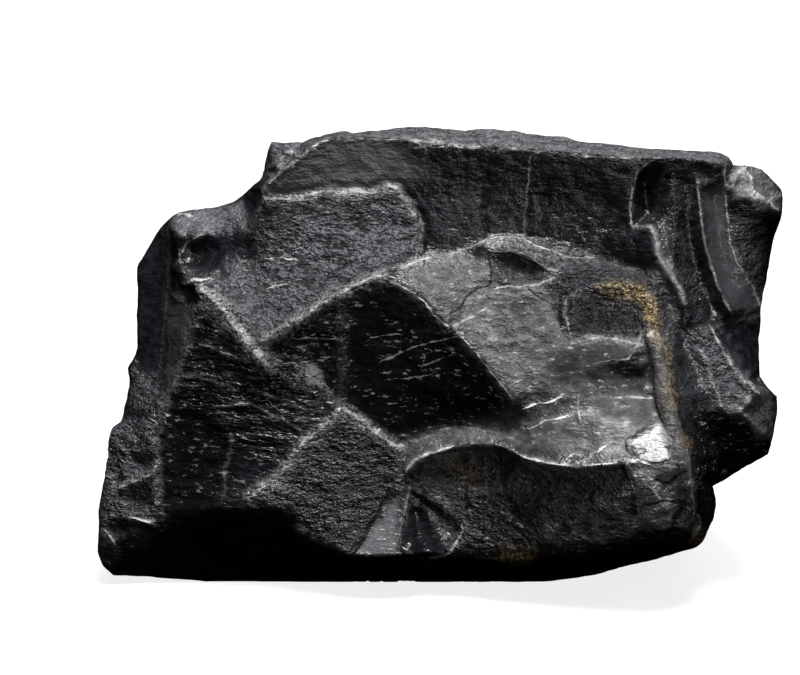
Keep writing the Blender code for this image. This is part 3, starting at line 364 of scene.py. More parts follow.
FINISHES["brown"] = {  # filmed over, brown-grey and satin
    "right of the lower face": (1.6, 1, (13, 11), (20, 12.6), (27, 12.4), (28, 8.6), (24, 6.6), (15, 7)),
    "left end under the lip": (1, 0.9, (-4, 16.4), (0, 18.6), (6, 19), (9, 16.6), (4, 14.6), (-2, 14.6)),
    "brown facet": (1.5, 1, (-5, 46.5), (2, 49.5), (8, 48.8), (16, 46.8), (18, 42), (18.6, 37), (31, 36),
        (32, 29), (24, 28.5), (12, 27), (5, 35.5), (-2, 42.5)),
    "shelf": (1.5, 0.8, (12, 27), (32, 28.5), (34.5, 20), (26, 18.5), (9, 21), (-5, 17), (-5, 21)),
    "grey rib": (0.5, 1, (31, 37.6), (33.6, 37), (34.6, 28), (38.2, 14), (37.6, 9), (35.6, 15), (33, 24),
        (31.8, 32)),
    "knob": (0.6, 1, (43.2, 59), (45, 63), (49, 62), (52, 56.5), (50, 55.6), (46.6, 57.6)),
    "right end": (0.6, 0.8, (45, 29), (49, 29), (50.4, 26), (50, 21.6), (47.6, 21.4), (45.6, 24.6),
        (43.6, 26)),
}
FINISHES["gloss"] = {  # smooth, dense and glossy
    "left of the dark facet": (0.8, 1, *DARK_FACET_LEFT),
    "dark column": (0.8, 0.6, (33.4, 62), (37.6, 61), (38, 54), (40.5, 46), (37.5, 43), (33.4, 54)),
    "dark facet": (0.6, 0.85, (-26, 36.6), (-8.2, 45.6), (10.6, 28), (11, 24), (-6.5, 21), (-14.5, 26.5),
        (-25.4, 32.5)),
    "shelf": (1, 0.9, (12, 26.5), (32, 28), (34.5, 20), (30, 18.8), (14, 19), (9, 21.5)),
    "fan": (0.6, 0.8, (-5, 14), (-1, 12), (3, 8), (1, 4.5), (-6.5, 5)),
    "triangle": (0.6, 0.5, (-6, 14), (-7.6, 12), (-13, 4.4), (-7, 4.4)),
    "trough": (0.6, 0.7, (39, 59), (43, 61), (43.4, 52), (47.8, 42), (44, 40.4), (40, 49)),
    "foot": (0.8, 1, (-36, 10.4), (-21.6, 10.2), (-13, 3.4), (30, 6.5), (42, 7.5), (42, -3), (-52, -3),
        (-50, 2), (-40, 8.4)),
    "band over the lip": (0.8, 0.8, (-5, 17), (-5, 21), (0, 23.4), (3, 24.2), (9, 22.8), (12, 24), (12, 19.8),
        (9, 20.8), (0, 19.8)),
    "side of the right block": (0.5, 0.5, (41, 38.6), (47.6, 38.8), (48, 30), (46, 30)),
    "strip on the left": (0.8, 0.4, (-45.5, 53), (-41.5, 55), (-41.5, 30), (-45.5, 32)),
    "low end of the big facet": (2, 0.4, (-42, 26), (-34, 26), (-33, 11.5), (-42.6, 11)),
}
FINISHES["gold"] = {  # stained with ochre
    "arc over the rubble": (0.9, 1, (23.5, 44.3), (26, 45.4), (30.5, 44.9), (32.6, 42), (32.6, 38.6),
        (31, 39.4), (30, 42.6), (27, 43.4)),
    "seam by the rib": (0.6, 0.45, (31.8, 39), (34.4, 35.4), (35.2, 26), (34.2, 26), (33.4, 34.6),
        (31.2, 37.4)),
    "spot by the rib": (0.8, 0.4, (35.8, 22.6), (37.4, 22), (37.4, 20), (36.2, 20.2)),
    "hollow under the lip": (1.4, 0.3, (1.5, 18), (6, 18.2), (6.5, 14.6), (2, 14.6)),
    "foot of the lower face": (1.2, 0.35, (9, 6), (14, 6), (13.6, 3.4), (9, 3.6)),
    "lower right corner": (0.8, 0.3, (37.5, 8.4), (40, 8.6), (39.8, 6), (37.4, 6)),
}
FINISHES["ribbed"] = {  # ribbed by hackles that run across
    "lower face": (1.5, 0.4, *LOWER_FACE),
    "hollow under the lip": (1, 0.5, (-4.6, 17), (-1, 19.2), (9, 19.6), (13, 17.4), (27, 17), (26, 14),
        (2, 14)),
    "big facet": (1.6, 1, (-36, 42), (-30, 36), (-26, 32), (-15, 26.5), (-21, 21.5), (-25, 17.5), (-33, 22),
        (-40, 27)),
    "right of the wall": (1.5, 0.2, (16, 55), (28, 53), (29, 47.5), (19, 49.5)),
    "low left": (1, 0.6, (-46, 15), (-42, 15), (-42, 9), (-50, 9)),
}
FINISHES["pale"] = {  # painted light: a paler colour that stands in for light these breaks would catch
    "blade": (0.3, 1, (36.9, 13.8), (37.4, 13.2), (37.2, 10.6), (36.4, 8.6), (35.7, 8.5), (35.5, 9.2),
        (36.3, 11.2)),
    "thin strip by the blade": (0.2, 0.9, (37.8, 10.8), (38.4, 9.4), (37.9, 8), (36.9, 6.8), (36.6, 7),
        (37.6, 8.6), (37.9, 9.6)),
    "left of the glossy block": (0.5, 1, (28.4, 17.6), (31.8, 17.2), (32, 13), (31, 12), (29.8, 12),
        (29.6, 14.6)),
    "rib of the first column": (0.4, 0.9, (31, 53.6), (32.6, 53.4), (33.4, 49.4), (35.4, 46.2), (36.9, 43.6),
        (36.9, 41.8), (36, 42.4), (34.4, 45.2), (32.6, 48), (31.8, 51.4)),
    "left of the wall": (2, 0.7, (-26, 59.5), (-16, 66.4), (-8, 66.2), (-2, 62), (-6, 60), (-10, 59),
        (-26, 58.4)),
    "terrace": (0.8, 0.9, (-41, 55), (-30, 57), (-28, 53.6), (-39, 52.6)),
    "basin by the left ridge": (2, 0.5, (-30, 47), (-18, 44.5), (-26, 38), (-31, 42)),
    "glossy block": (0.8, 1, (28.6, 17.6), (37, 17), (36.6, 9), (30, 8.4), (29.4, 12)),
    "trough": (0.6, 0.25, (39.4, 59.1), (42.8, 60.2), (43.1, 53.9), (45, 48.6), (47.2, 44.8), (48.4, 42.6),
        (46.5, 40.4), (44.4, 40), (42, 44.8), (40.1, 51.2)),
    "strip on the left": (0.6, 0.35, (-41.2, 44.1), (-36.4, 43.4), (-37.9, 38.5), (-38.6, 32.8),
        (-40.1, 29.1), (-41.2, 27.6)),
    "right of the lower face": (1.5, 0.8, (22.5, 13), (27.5, 14), (28.4, 8), (24, 6.5), (21.5, 9)),
    "triangle": (0.6, 0.9, *TRIANGLE),
    "lower face": (2.5, 0.7, (4, 14), (26, 14), (28, 7), (4, 7)),
    "hollow under the lip": (1.5, 0.8, (-2, 18.6), (10, 19.2), (27, 16.6), (27, 12.5), (3, 12.5), (-3, 15)),
    "right block": (1, 0.4, (38.5, 36), (44, 34), (48, 28), (44, 25), (39.5, 31)),
}
FINISHES["sooty"] = {  # painted shade: near-black where the stone lies in shadow
    "foot": (0.8, 1, (-36, 10.4), (-21.6, 10.2), (-21, 6.6), (-13, 3.4), (30, 6.5), (42, 7.5), (42, -3),
        (-52, -3), (-50, 2), (-40, 8.4)),
    "first column": (0.8, 0.95, (29.1, 54.2), (28.9, 58.7), (29.6, 62), (31.1, 63.2), (33.8, 63.4),
        (33.6, 61.4), (32.1, 58.4), (31.5, 54.2)),
    "rubble hollow": (0.8, 1, (18.6, 42.6), (24, 44.2), (29.6, 44), (31.2, 40.4), (30.4, 38.4), (26.3, 38),
        (19.5, 37.6)),
    "band over the rubble": (1.2, 0.5, (10, 51), (16, 51.5), (26, 48), (33, 46), (36, 40), (35.4, 36),
        (33, 39), (31.8, 45.4), (24, 46.4), (16, 48)),
    "second hollow under the lip": (1, 0.5, (11.6, 15.3), (18, 16.2), (28.1, 16.8), (28.7, 15.3),
        (20.5, 14.2), (12.9, 13.4)),
    "dark face under the knob": (0.7, 0.95, (43.4, 57), (52, 55.5), (50, 42), (45.5, 47), (43.8, 51)),
    "right wall": (0.9, 0.75, (38, 27), (42, 25.5), (50, 21), (49, 17), (41, 13.8), (38.6, 16)),
    "left of the trough": (0.8, 0.9, (38.2, 59.1), (39, 53.8), (40.5, 47.1), (43.5, 40.4), (40, 42.3),
        (36.8, 45.6), (34, 48.6), (33.3, 53.1), (37, 53.5), (37.8, 56.9)),
    "hexagon": (1.5, 1, (-14.6, 25.4), (-6.4, 19.6), (-6.4, 13.6), (-13.4, 4.8), (-21, 8.4), (-24, 15.4)),
    "dark column": (0.8, 1, (33.6, 63), (37.4, 62), (38, 54), (42, 42), (37.5, 41), (33.4, 54), (32.6, 58)),
    "strip on the left": (0.6, 0.5, (-41.4, 51), (-39, 50), (-38.6, 32), (-41, 33)),
    "dip in the brown facet": (1, 0.7, (9.6, 43), (13.4, 42.4), (13.6, 40), (10.4, 39.8)),
    "upper hollow": (0.7, 0.7, (6.8, 49.7), (11.3, 49.4), (15.8, 47.1), (16.8, 46.2), (14.7, 45.2),
        (10.5, 44.9), (8.3, 45.2), (7.4, 47.4)),
    "back of the shelf": (1.6, 1, (16, 33), (20, 35.4), (26, 35.6), (30.8, 35.2), (31.6, 31), (30.4, 28.9),
        (22, 29.2), (17, 30.4)),
    "left of the dark facet": (0.8, 1, *DARK_FACET_LEFT),
    "wall": (4, 0.4, (4, 65), (30, 63), (28.4, 48), (20, 49), (4, 53)),
    "low end of the big facet": (2, 0.8, (-42, 25), (-33, 26), (-30, 14), (-36, 11.5), (-42.6, 11)),
    "pocket by the rib": (1.6, 0.55, (24.5, 33.4), (28.6, 34.6), (30.6, 35.4), (31.4, 30.6), (30, 29),
        (22, 29.4), (20, 31.6)),
    "pocket under the terrace": (0.8, 0.6, (-39, 51), (-35.4, 51.4), (-34.6, 49), (-36.4, 47), (-39, 47.4)),
    "dark facet": (0.8, 0.7, (-26, 36), (-8.2, 45.2), (9.6, 28), (10, 24.4), (-6.5, 21.6), (-14.5, 27.2),
        (-25, 32.6)),
    "big facet": (1.2, 0.8, (-36, 41), (-26, 32), (-16, 26.5), (-25, 17.5), (-33, 22), (-40, 27)),
    "left of the lower face": (1.4, 0.9, (3, 13.6), (13, 13.6), (14.6, 9), (13, 6), (4, 6)),
    "hollow under the lip": (1, 0.25, (-4.6, 17), (-1, 19.2), (9, 19.6), (13, 17.4), (27, 17), (26, 14.6),
        (12, 14.6), (2, 15.4)),
}
FINISHES["crumbled"] = {  # all small black chips that glint one by one
    "rubble hollow": (0.8, 1, (16.5, 45.6), (18, 47.4), (22, 48), (27, 47), (32.6, 46), (33.4, 42),
        (32.6, 38), (27, 37.6), (19.4, 37.4), (17.6, 40)),
    "upper hollow": (0.6, 0.6, (8, 49), (11, 49.2), (15.6, 46.8), (15, 45), (9, 45)),
    "lower face": (1.4, 0.9, (3, 14.5), (20, 15.6), (28.4, 16.6), (29.4, 12), (28.8, 8), (24, 5.8), (3, 5.6)),
    "hollow under the lip": (1, 1, (-4, 16.4), (0, 18.8), (9, 19), (13, 16.8), (27, 16.6), (26, 14), (2, 14)),
    "raised patch on the glossy block": (0.4, 0.8, (32.2, 14), (33, 15.2), (34.8, 15), (35.4, 16.4),
        (36.6, 16.4), (36.8, 14), (36, 12.8), (33.2, 12.8)),
    "strip right of the rib": (0.5, 0.8, (38, 17), (40, 16.4), (41, 15), (40.4, 13.6), (38.2, 14)),
    "low left": (1, 0.5, *LOW_LEFT),
    "right block": (0.8, 0.6, (37, 38), (41, 38), (44, 33), (42, 28), (39, 33)),
    "hexagon": (0.8, 0.25, (-15, 25.8), (-6.2, 20), (-5.6, 14), (-8, 12.4), (-13.4, 4.2), (-21.3, 7.6),
        (-21.4, 10.6), (-28.5, 13), (-21, 20.8)),
    "basin": (1.6, 0.35, (-26, 48), (-8, 46.6), (-16, 43), (-25, 38.6), (-29, 42)),
    "brown facet": (1.2, 0.15, (-4, 46), (8, 48.8), (16, 45), (18, 37.6), (16, 31), (12, 27.6), (5, 36),
        (-2, 43)),
}
FINISHES["dull"] = {  # sheltered, where the light doesn't glance off
    "back of the shelf": (1.8, 1, (16, 34.6), (20, 36.2), (31, 35.8), (31.8, 31), (31.6, 28.6), (22, 28.6),
        (15.6, 29.6)),
    "band over the rubble": (1, 0.5, (18, 50), (28, 48), (33, 46), (30, 46), (24, 47.4), (17, 48)),
    "shelf by the rib": (1.2, 0.8, (22, 28), (33, 28), (34, 24.6), (30, 24), (25, 25)),
    "right of the brown facet": (2, 0.6, (12, 40), (17, 43), (18, 37.6), (15, 33), (11, 36)),
}
FINISHES["specks"] = {  # painted glints: bright points of colour
    "left of the dark facet": (0.8, 0.2, (-25, 36), (-15, 42), (-14.6, 28), (-20, 31)),
    "dark facet": (0.6, 0.45, (-26, 36.2), (-8.2, 45), (10.4, 28), (10.6, 24), (-6.5, 21.6), (-14.5, 27.2),
        (-25, 32.6)),
    "big facet": (0.8, 0.35, (-36, 42), (-26, 32), (-15, 26.5), (-29, 13.5), (-42, 12), (-40, 30)),
    "wall": (2, 0.1, (-2, 64), (30, 62), (28, 48), (18, 49), (0, 51)),
    "lower face": (1, 0.85, (-3, 18), (9, 19), (27, 17), (37, 16), (37, 8), (24, 5), (4, 5)),
    "triangle": (0.6, 1, *TRIANGLE),
    "brown facet and shelf": (1.2, 0.6, (-6, 45), (2, 49), (18, 46), (18.6, 37), (31, 36), (32, 29), (34, 20),
        (9, 21), (12, 27), (5, 35.5)),
    "right wall": (0.8, 0.6, (38.6, 27), (45, 25), (50, 21), (49, 17), (41, 13.8), (38.6, 17)),
}

# Breaks of rounded lumps, which the finish doesn't follow.
LUMPY = {
    "lower face": (1.5, 0.8, *LOWER_FACE),
    "low left": (1, 0.9, *LOW_LEFT),
    "right block": (0.8, 0.6, (36.5, 38.5), (41, 38.2), (48, 29), (44, 26), (40, 29.5), (38.5, 34)),
    "rubble hollow": (0.8, 0.7, (18.6, 43), (24, 45), (31, 44.6), (32, 39), (27, 37.6), (19, 37)),
    "shoulder under the terrace": (1, 0.8, (-40, 52), (-33, 51), (-32, 46), (-36, 42), (-40, 43)),
    "back of the shelf": (1.4, 0.7, (18, 35.6), (31, 35.6), (31.8, 29), (16, 29.6)),
    "upper hollow": (1.4, 0.6, (8, 49), (18, 47), (18.6, 37), (12, 36), (8.6, 41)),
}

# The one patch as smooth as glass, with a painted highlight in streaks on it.
GLASSY_PATCH = (0.25, 1, (27.8, 21.4), (30.8, 23.6), (33.9, 24.8), (34.5, 21.2), (34.4, 19), (33.2, 18.4),
    (31.1, 18.6), (28, 20.2))
# The fan of hackles, and the point that they spread from. The ribs: how high they are, how many a full
# turn would have, how much they wander, and over what length.
FAN = (0.6, 1, (-4.5, 14.2), (2.6, 13), (4.4, 8), (2, 4.2), (-6.4, 4.6))
FAN_SOURCE = (-4.5, 14.1)
FAN_RIBS = (0.28, 11, 0.8, 6.0)


def face_places(points):
    """Each point's (across, up) on the leaning face."""
    away = points * 1000 - FACE_ORIGIN
    return np.stack((away @ ACROSS, away @ UP), 1)


def segment_distances(places, a, b):
    """How far each place is from the segment, and which side of it the place is on."""
    a, b = np.array(a, float), np.array(b, float)
    run = b - a
    along = np.clip(((places - a) @ run) / (run @ run), 0, 1)
    away = places - a - along[:, None] * run
    side = np.sign(run[0] * away[:, 1] - run[1] * away[:, 0])
    return np.hypot(away[:, 0], away[:, 1]), side


def line_distances(places, line):
    """How far each place is from the line, and the same with its sign: positive on the line's left."""
    away = np.full(len(places), np.inf)
    signed = np.zeros(len(places))
    for a, b in zip(line, line[1:]):
        found, side = segment_distances(places, a, b)
        closer = found < away
        away[closer] = found[closer]
        signed[closer] = (found * np.where(side < 0, -1, 1))[closer]
    return away, signed


def nearest_line(places, lines, count):
    """The signed distance to the nearest line, how far it is, and the numbers that stand before it."""
    away = np.full(len(places), np.inf)
    signed = np.zeros(len(places))
    own = np.zeros((len(places), count))
    for entry in lines.values():
        found, side = line_distances(places, entry[count:])
        closer = found < away
        away[closer], signed[closer], own[closer] = found[closer], side[closer], entry[:count]
    return signed, away, own.T


def beside_line(away):
    """1 within about 0.7 of a line, 0 beyond about 1.6."""
    return np.clip(1.8 - 1.1 * away, 0, 1)


def inside(places, outline):
    """Whether each place is inside the outline."""
    x, y = places.T
    found = np.zeros(len(places), bool)
    for (ax, ay), (bx, by) in zip(outline, outline[1:] + outline[:1]):
        if ay != by:
            found ^= ((ay > y) != (by > y)) & (x < ax + (y - ay) * (bx - ax) / (by - ay))
    return found


def smooth_step(value, low, high):
    """0 up to the low value, 1 from the high one, and an eased rise between."""
    t = np.clip((value - low) / (high - low), 0, 1)
    return t * t * (3 - 2 * t)


def soft_region(places, fade, strength, *outline):
    """1 well inside the outline, 0 well outside, and a soft edge between, times the strength."""
    away = np.full(len(places), np.inf)
    for a, b in zip(outline, outline[1:] + outline[:1]):
        away = np.minimum(away, segment_distances(places, a, b)[0])
    signed = np.where(inside(places, outline), away, -away)
    return smooth_step(0.5 + signed / (2 * fade), 0, 1) * strength


def strongest_region(places, outlines):
    """The strongest of the soft regions at each place."""
    return np.max([soft_region(places, *entry) for entry in outlines.values()], axis=0)


def lumps(points, size, octaves=3):
    """Even noise between about -1 and 1, with lumps of this width."""
    return np.array([noise.fractal(Vector(p) * (1000 / size), 1.0, 2.0, octaves) for p in points])


def crushed(points, size):
    """Noise with sharp ridges, as a hackly break has."""
    return np.array([
        noise.ridged_multi_fractal(Vector(p) * (1000 / size), 1.0, 2.0, 3, 1.0, 2.0) for p in points
    ])


def finer_copy(node):
    """The solid's mesh again as a new object, its corners merged, its sharp breaks kept, made finer."""
    bm = bmesh.new()
    bm.from_mesh(node.data)
    bmesh.ops.remove_doubles(bm, verts=bm.verts[:], dist=MERGED)
    bmesh.ops.dissolve_degenerate(bm, dist=DEGENERATE, edges=bm.edges[:])
    mesh = bpy.data.meshes.new("stone")
    bm.to_mesh(mesh)
    bm.free()
    for name in ("custom_normal", "sharp_face", "sharp_edge"):
        if name in mesh.attributes:
            mesh.attributes.remove(mesh.attributes[name])
    stone = bpy.data.objects.new("stone", mesh)
    bpy.context.scene.collection.objects.link(stone)
    bpy.ops.object.select_all(action="DESELECT")
    bpy.context.view_layer.objects.active = stone
    stone.select_set(True)
    thin = stone.modifiers.new("thin", "DECIMATE")
    thin.ratio = min(1.0, MOST_FACES / len(mesh.polygons))
    bpy.ops.object.modifier_apply(modifier="thin")
    crease_sharp_edges(stone.data)
    finer = stone.modifiers.new("finer", "SUBSURF")
    finer.levels = finer.render_levels = SPLITS
    bpy.ops.object.modifier_apply(modifier="finer")
    return stone


def crease_sharp_edges(mesh):
    """Marks how sharp each edge stays when the mesh is made finer."""
    bm = bmesh.new()
    bm.from_mesh(mesh)
    crease = bm.edges.layers.float.new("crease_edge")
    for edge in bm.edges:
        turn = math.degrees(edge.calc_face_angle(0.0))
        edge[crease] = min(1.0, max(0.0, (turn - ROUNDED_TURN) / (SHARP_TURN - ROUNDED_TURN)))
    bm.to_mesh(mesh)
    bm.free()


def surface(mesh):
    """Where each vertex is, in metres, and which way the surface faces there."""
    found = np.empty((2, len(mesh.vertices) * 3), np.float32)
    mesh.vertices.foreach_get("co", found[0])
    mesh.vertex_normals.foreach_get("vector", found[1])
    return found.reshape(2, -1, 3).astype(float)


def survey(mesh):
    """What each vertex of the stone is part of. Names that start with _ are for the carving only."""
    points, normals = surface(mesh)
    places = face_places(points)
    front = smooth_step(normals @ OUT, *FRONT)
    drift = np.stack((lumps(points, WANDER_WIDTH, 2), lumps(points + ELSEWHERE, WANDER_WIDTH, 2)), 1)
    wavy = places + LINES_WANDER * drift
    wide = places + OUTLINES_WANDER * drift
    line, line_away, (glint, band, width, ledge) = nearest_line(wavy, CRESTS, 4)
    crack_line, crack_away, (crack, crack_width) = nearest_line(wavy, CRACKS, 2)
    found = {name: strongest_region(wide, outlines) * front for name, outlines in FINISHES.items()}
    least, more, patch_width = BACK_GRAIN
    patchy = least + more * smooth_step(lumps(points, patch_width), *PATCH_EDGE)
    found["grain"] = np.maximum(found["grain"], patchy * (1 - front))
    step = np.tanh(line / STEP_WIDTH) * np.exp(-line_away / STEP_REACH)
    found.update({
        "glass": soft_region(wavy, *GLASSY_PATCH) * front,
        "line": np.clip(line, -LINE_REACH, LINE_REACH),
        "glint": glint * beside_line(line_away) * front,
        "bruise": band * np.exp(-((line_away / width) ** 2)) * front,
        "ledge": ledge * beside_line(line_away) * front,
        "crack_line": np.clip(crack_line / crack_width, -CRACK_REACH, CRACK_REACH),
        "crack": crack * beside_line(crack_away) * front,
        "_front": front,
        "_all over": np.ones(len(points)),
        "_unpolished": 1 - POLISHED_AWAY * found["gloss"],
        "_lumpy": strongest_region(places, LUMPY) * front,
        "_fan": soft_region(places, *FAN) * front,
        "_step": ledge * step * front,
        "_crack": crack * np.exp(-((crack_away / (CRACK_SHOULDER + crack_width)) ** 2)) * front,
    })
    return found


def carve(mesh, found):
    """Moves each vertex in or out by the breaks' own relief."""
    points, normals = surface(mesh)
    places = face_places(points)
    high, size = CRUSHED
    height = found["grain"] * high * (crushed(points, size) - 1)
    for name, (high, size, octaves, squeeze) in RELIEF.items():
        height += found[name] * high * lumps(points * squeeze, size, octaves)
    across, up = (places - FAN_SOURCE).T
    high, ribs, wander, size = FAN_RIBS
    wave = np.sin(np.arctan2(up, across) * ribs + wander * lumps(points, size, 2))
    height += found["_fan"] * high * wave
    height += found["_step"] / 2 - CRACK_DEPTH * found["_crack"]
    for tall, half_width, *line in RIDGES.values():
        away, _ = line_distances(places, line)
        height += tall * np.clip(1 - (away / half_width) ** 2, 0, 1) ** RIDGE_PROFILE * found["_front"]
    for deep, slope, *outline in HOLLOWS.values():
        height -= soft_region(places, slope, deep, *outline) * found["_front"]
    height *= smooth_step(points[:, 2] * 1000, *BASE_FADE)
    points += normals * height[:, None] * 0.001
    points[:, 2] = np.maximum(points[:, 2], 0.0)
    mesh.vertices.foreach_set("co", points.ravel())
    mesh.update()


def note(mesh, found):
    """Writes what was found on the mesh, for the material to read."""
    for name, values in found.items():
        if not name.startswith("_"):
            attribute = mesh.attributes.new(name, "FLOAT", "POINT")
            attribute.data.foreach_set("value", values.astype(np.float32))


def linear(hexed):
    """An sRGB colour such as "4a4846" as linear values."""
    values = [int(hexed[i : i + 2], 16) / 255 for i in (0, 2, 4)]
    return [v / 12.92 if v <= 0.04045 else ((v + 0.055) / 1.055) ** 2.4 for v in values] + [1.0]


def add(tree, kind, inputs=(), output=0, **settings):
    """A new node with its settings. Its inputs, in order or by name, are linked to other nodes or set."""
    node = tree.nodes.new("ShaderNode" + kind)
    for key, value in settings.items():
        setattr(node, key, value)
    for key, value in inputs.items() if isinstance(inputs, dict) else enumerate(inputs):
        if isinstance(value, bpy.types.NodeSocket):
            tree.links.new(value, node.inputs[key])
        else:
            node.inputs[key].default_value = value
    return node.outputs[output] if node.outputs else None


def blank_material(name):
    """A new material without nodes."""
    material = bpy.data.materials.new(name)
    material.use_nodes = True
    material.node_tree.nodes.clear()
    return material


def changed(tree, value, changes):
    """The value, turned into another by the share of each finish that has one."""
    for share, other in changes:
        value = add(tree, "Mix", {0: share, 2: value, 3: other})
    return value


def pile(tree, height, layers):
    """The height with each pattern on top of it, by an amount that some finishes change."""
    for pattern, amount, *changes in layers:
        amount = changed(tree, amount, changes)
        height = add(tree, "Math", [pattern, amount, height], operation="MULTIPLY_ADD")
    return height


def broken_shungite():
    """Glassy black carbon rock as it broke, never cut or polished: near-black, and bright where light glances
    off it and where highlights are painted. Clean breaks are satin to glassy, crushed ones grainy and grey,
    filmed ones brown-grey, and chipped edges glint; sheltered breaks and pits carry painted shade, some
    breaks painted light."""
    material = blank_material("broken shungite")
    tree = material.node_tree
    names = (*FINISHES, "glass", "line", "glint", "bruise", "ledge", "crack_line", "crack")
    marks = [add(tree, "Attribute", output="Fac", attribute_name=name) for name in names]
    grain, brown, gloss, gold, ribbed, pale, sooty, crumbled, dull, specks, *marks = marks
    glass, line, glint, bruise, ledge, crack_line, crack = marks
    patterns = []
    place = add(tree, "TexCoord", output="Object")
    for size, octaves, harsh, squeeze in PATTERNS.values():
        squeezed = add(tree, "Mapping", {"Vector": place, "Scale": squeeze})
        values = {"Vector": squeezed, "Scale": 1000 / size, "Detail": octaves, "Roughness": harsh}
        patterns.append(add(tree, "TexNoise", values))
    grit, chips, cloudiness, hackles, striae, wear, stain = patterns

    # How far it is to the crest's line and to the crack, both made ragged.
    away = []
    for distance, pattern, amount in ((line, chips, -0.9), (crack_line, grit, -1.5)):
        straight = add(tree, "Math", [distance], operation="ABSOLUTE")
        ragged = add(tree, "Math", [pattern, 0.5], operation="SUBTRACT")
        away.append(add(tree, "Math", [ragged, amount, straight], operation="MULTIPLY_ADD"))
    off_line, off_crack = away
    rubble = add(tree, "Math", [striae, chips], operation="ADD")
    bright = add(tree, "Math", [bruise, 0.6, specks], operation="MULTIPLY_ADD")
    # What shows of each mark, once ramps of patterns break it up. A ramp is a pattern, the values where
    # it starts and ends, and what they turn into if not 0 and 1.
    shown = []
    for share, *ramps in (
        (grain, (rubble, 0.98, 0.84)),  # pits
        (crack, (off_crack, 0.9, 0.3)),  # cracks
        (glint, (off_line, 0.18, 0.04), (wear, 0.4, 0.56, 0.35, 1.0)),  # chipped edges
        (brown, (cloudiness, 0.3, 0.6, 0.5, 1.0)),  # brown-grey film
        (bruise, (grit, 0.36, 0.56)),  # stone bruised grey along an edge, with a painted highlight on it
        (sooty, (hackles, 0.4, 0.56, 1.0, 0.72)),  # painted shade
        (glass, (hackles, 0.44, 0.5)),  # painted highlight in streaks on the glassy patch
        (gold, (stain, 0.36, 0.54)),  # ochre
        (bright, (striae, 0.57, 0.65), (chips, 0.48, 0.57)),  # painted glints, as bright points
    ):
        for ramp in ramps:
            share = add(tree, "Math", [share, add(tree, "MapRange", ramp, **EASED)], operation="MULTIPLY")
        shown.append(share)
    pits, cracks, glints, film, bruises, soot, painted_highlight_streaks, gilt, speck = shown
    # Painted shade in the pits.
    pit_shade = add(tree, "Math", [pits, 0.9], operation="MULTIPLY")
    black = add(tree, "Math", [cracks, soot], operation="MAXIMUM")
    black = add(tree, "Math", [black, pit_shade], operation="MAXIMUM")
    ochre = add(tree, "Math", [gilt, 0.85], operation="MULTIPLY")
    loose = add(tree, "Math", [pits, gilt], operation="MAXIMUM")
    loose = add(tree, "Math", [loose, cracks], operation="MAXIMUM")

    # The stone's colours with the painted light and shade among them, each between two tones as its pattern
    # rises, and then one over another.
    tones = []
    for pattern, low, high, dark, light in (
        (chips, 0.35, 0.65, "09090b", "1a1a1f"),  # a clean break
        (grit, 0.35, 0.65, "262629", "505055"),  # crushed, and darker in its low grit as painted shade
        (chips, 0.36, 0.62, "353332", "545250"),  # filmed
        (grit, 0.4, 0.6, "564626", "b09a6c"),  # stained by iron
    ):
        share = add(tree, "MapRange", [pattern, low, high], **EASED)
        tones.append(add(tree, "Mix", {0: share, 6: linear(dark), 7: linear(light)}, **COLOURS))
    colour, crushed_and_shaded_tone, film_tone, stain_tone = tones
    for share, tone in (
        (pale, linear("57575a")),  # painted light, paler
        (grain, crushed_and_shaded_tone),
        (film, film_tone),
        # bruised grey along edges, with a painted highlight along crests
        (bruises, linear("848486")),
        (black, linear("020202")),  # cracks, and painted shade on sheltered breaks and in pits
        # painted glints
        (speck, linear("98989a")),
        # painted highlight in streaks on the glassy patch
        (painted_highlight_streaks, linear("8e8e90")),
        (glints, linear("c4c2be")),
        (ochre, stain_tone),
    ):
        colour = add(tree, "Mix", {0: share, 6: colour, 7: tone}, **COLOURS)

    rough = add(tree, "MapRange", [cloudiness, 0.3, 0.7, 0.24, 0.34], **EASED)
    rough = changed(tree, rough, (
        (grain, 0.38),
        (gloss, add(tree, "MapRange", [chips, 0.35, 0.65, 0.24, 0.15], **EASED)),
        (brown, add(tree, "MapRange", [chips, 0.35, 0.65, 0.56, 0.46], **EASED)),
        (glass, 0.25),
        (loose, 0.85),
        (crumbled, 0.33),
        (dull, 0.9),
    ))

    # Relief too fine for the mesh: each pattern's height, and then its height where a finish is.
    height = pile(tree, 0.0, (
        (grit, 0.06, (brown, 0.2), (grain, 0.3)),
        (chips, 0.5, (grain, 1.5), (brown, 0.55)),
        (hackles, 0.2, (ribbed, 1.25)),
        (hackles, 0.0, (glass, 1.9)),
        (striae, 0.0, (glass, 0.25)),
        (striae, 0.05, (ribbed, 0.25)),
        (pits, -0.22),
    ))
    # Gloss and the painted shade even out what is there so far; the rest stands on top of it.
    smooth = add(tree, "Math", [gloss, glass], operation="MAXIMUM")
    for share, amount in ((smooth, -0.65), (sooty, -0.3)):
        even = add(tree, "Math", [share, amount, 1.0], operation="MULTIPLY_ADD")
        height = add(tree, "Math", [height, even], operation="MULTIPLY")
    left_side = add(tree, "MapRange", [line, -0.12, 0.12], **EASED)
    height = pile(tree, height, (
        (chips, 0.0, (crumbled, 1.5)),
        (grit, 0.0, (crumbled, 0.4)),
        (left_side, ledge),
        (bruise, 0.15),
        (glints, 0.06),
        (cracks, -0.12),
    ))
    bump = add(tree, "Bump", {"Height": height, "Distance": 0.001, "Strength": 1.0})
    looks = {"Base Color": colour, "Roughness": rough, "Normal": bump, "IOR": STONE_IOR}
    add(tree, "OutputMaterial", {"Surface": add(tree, "BsdfPrincipled", looks)})
    return material


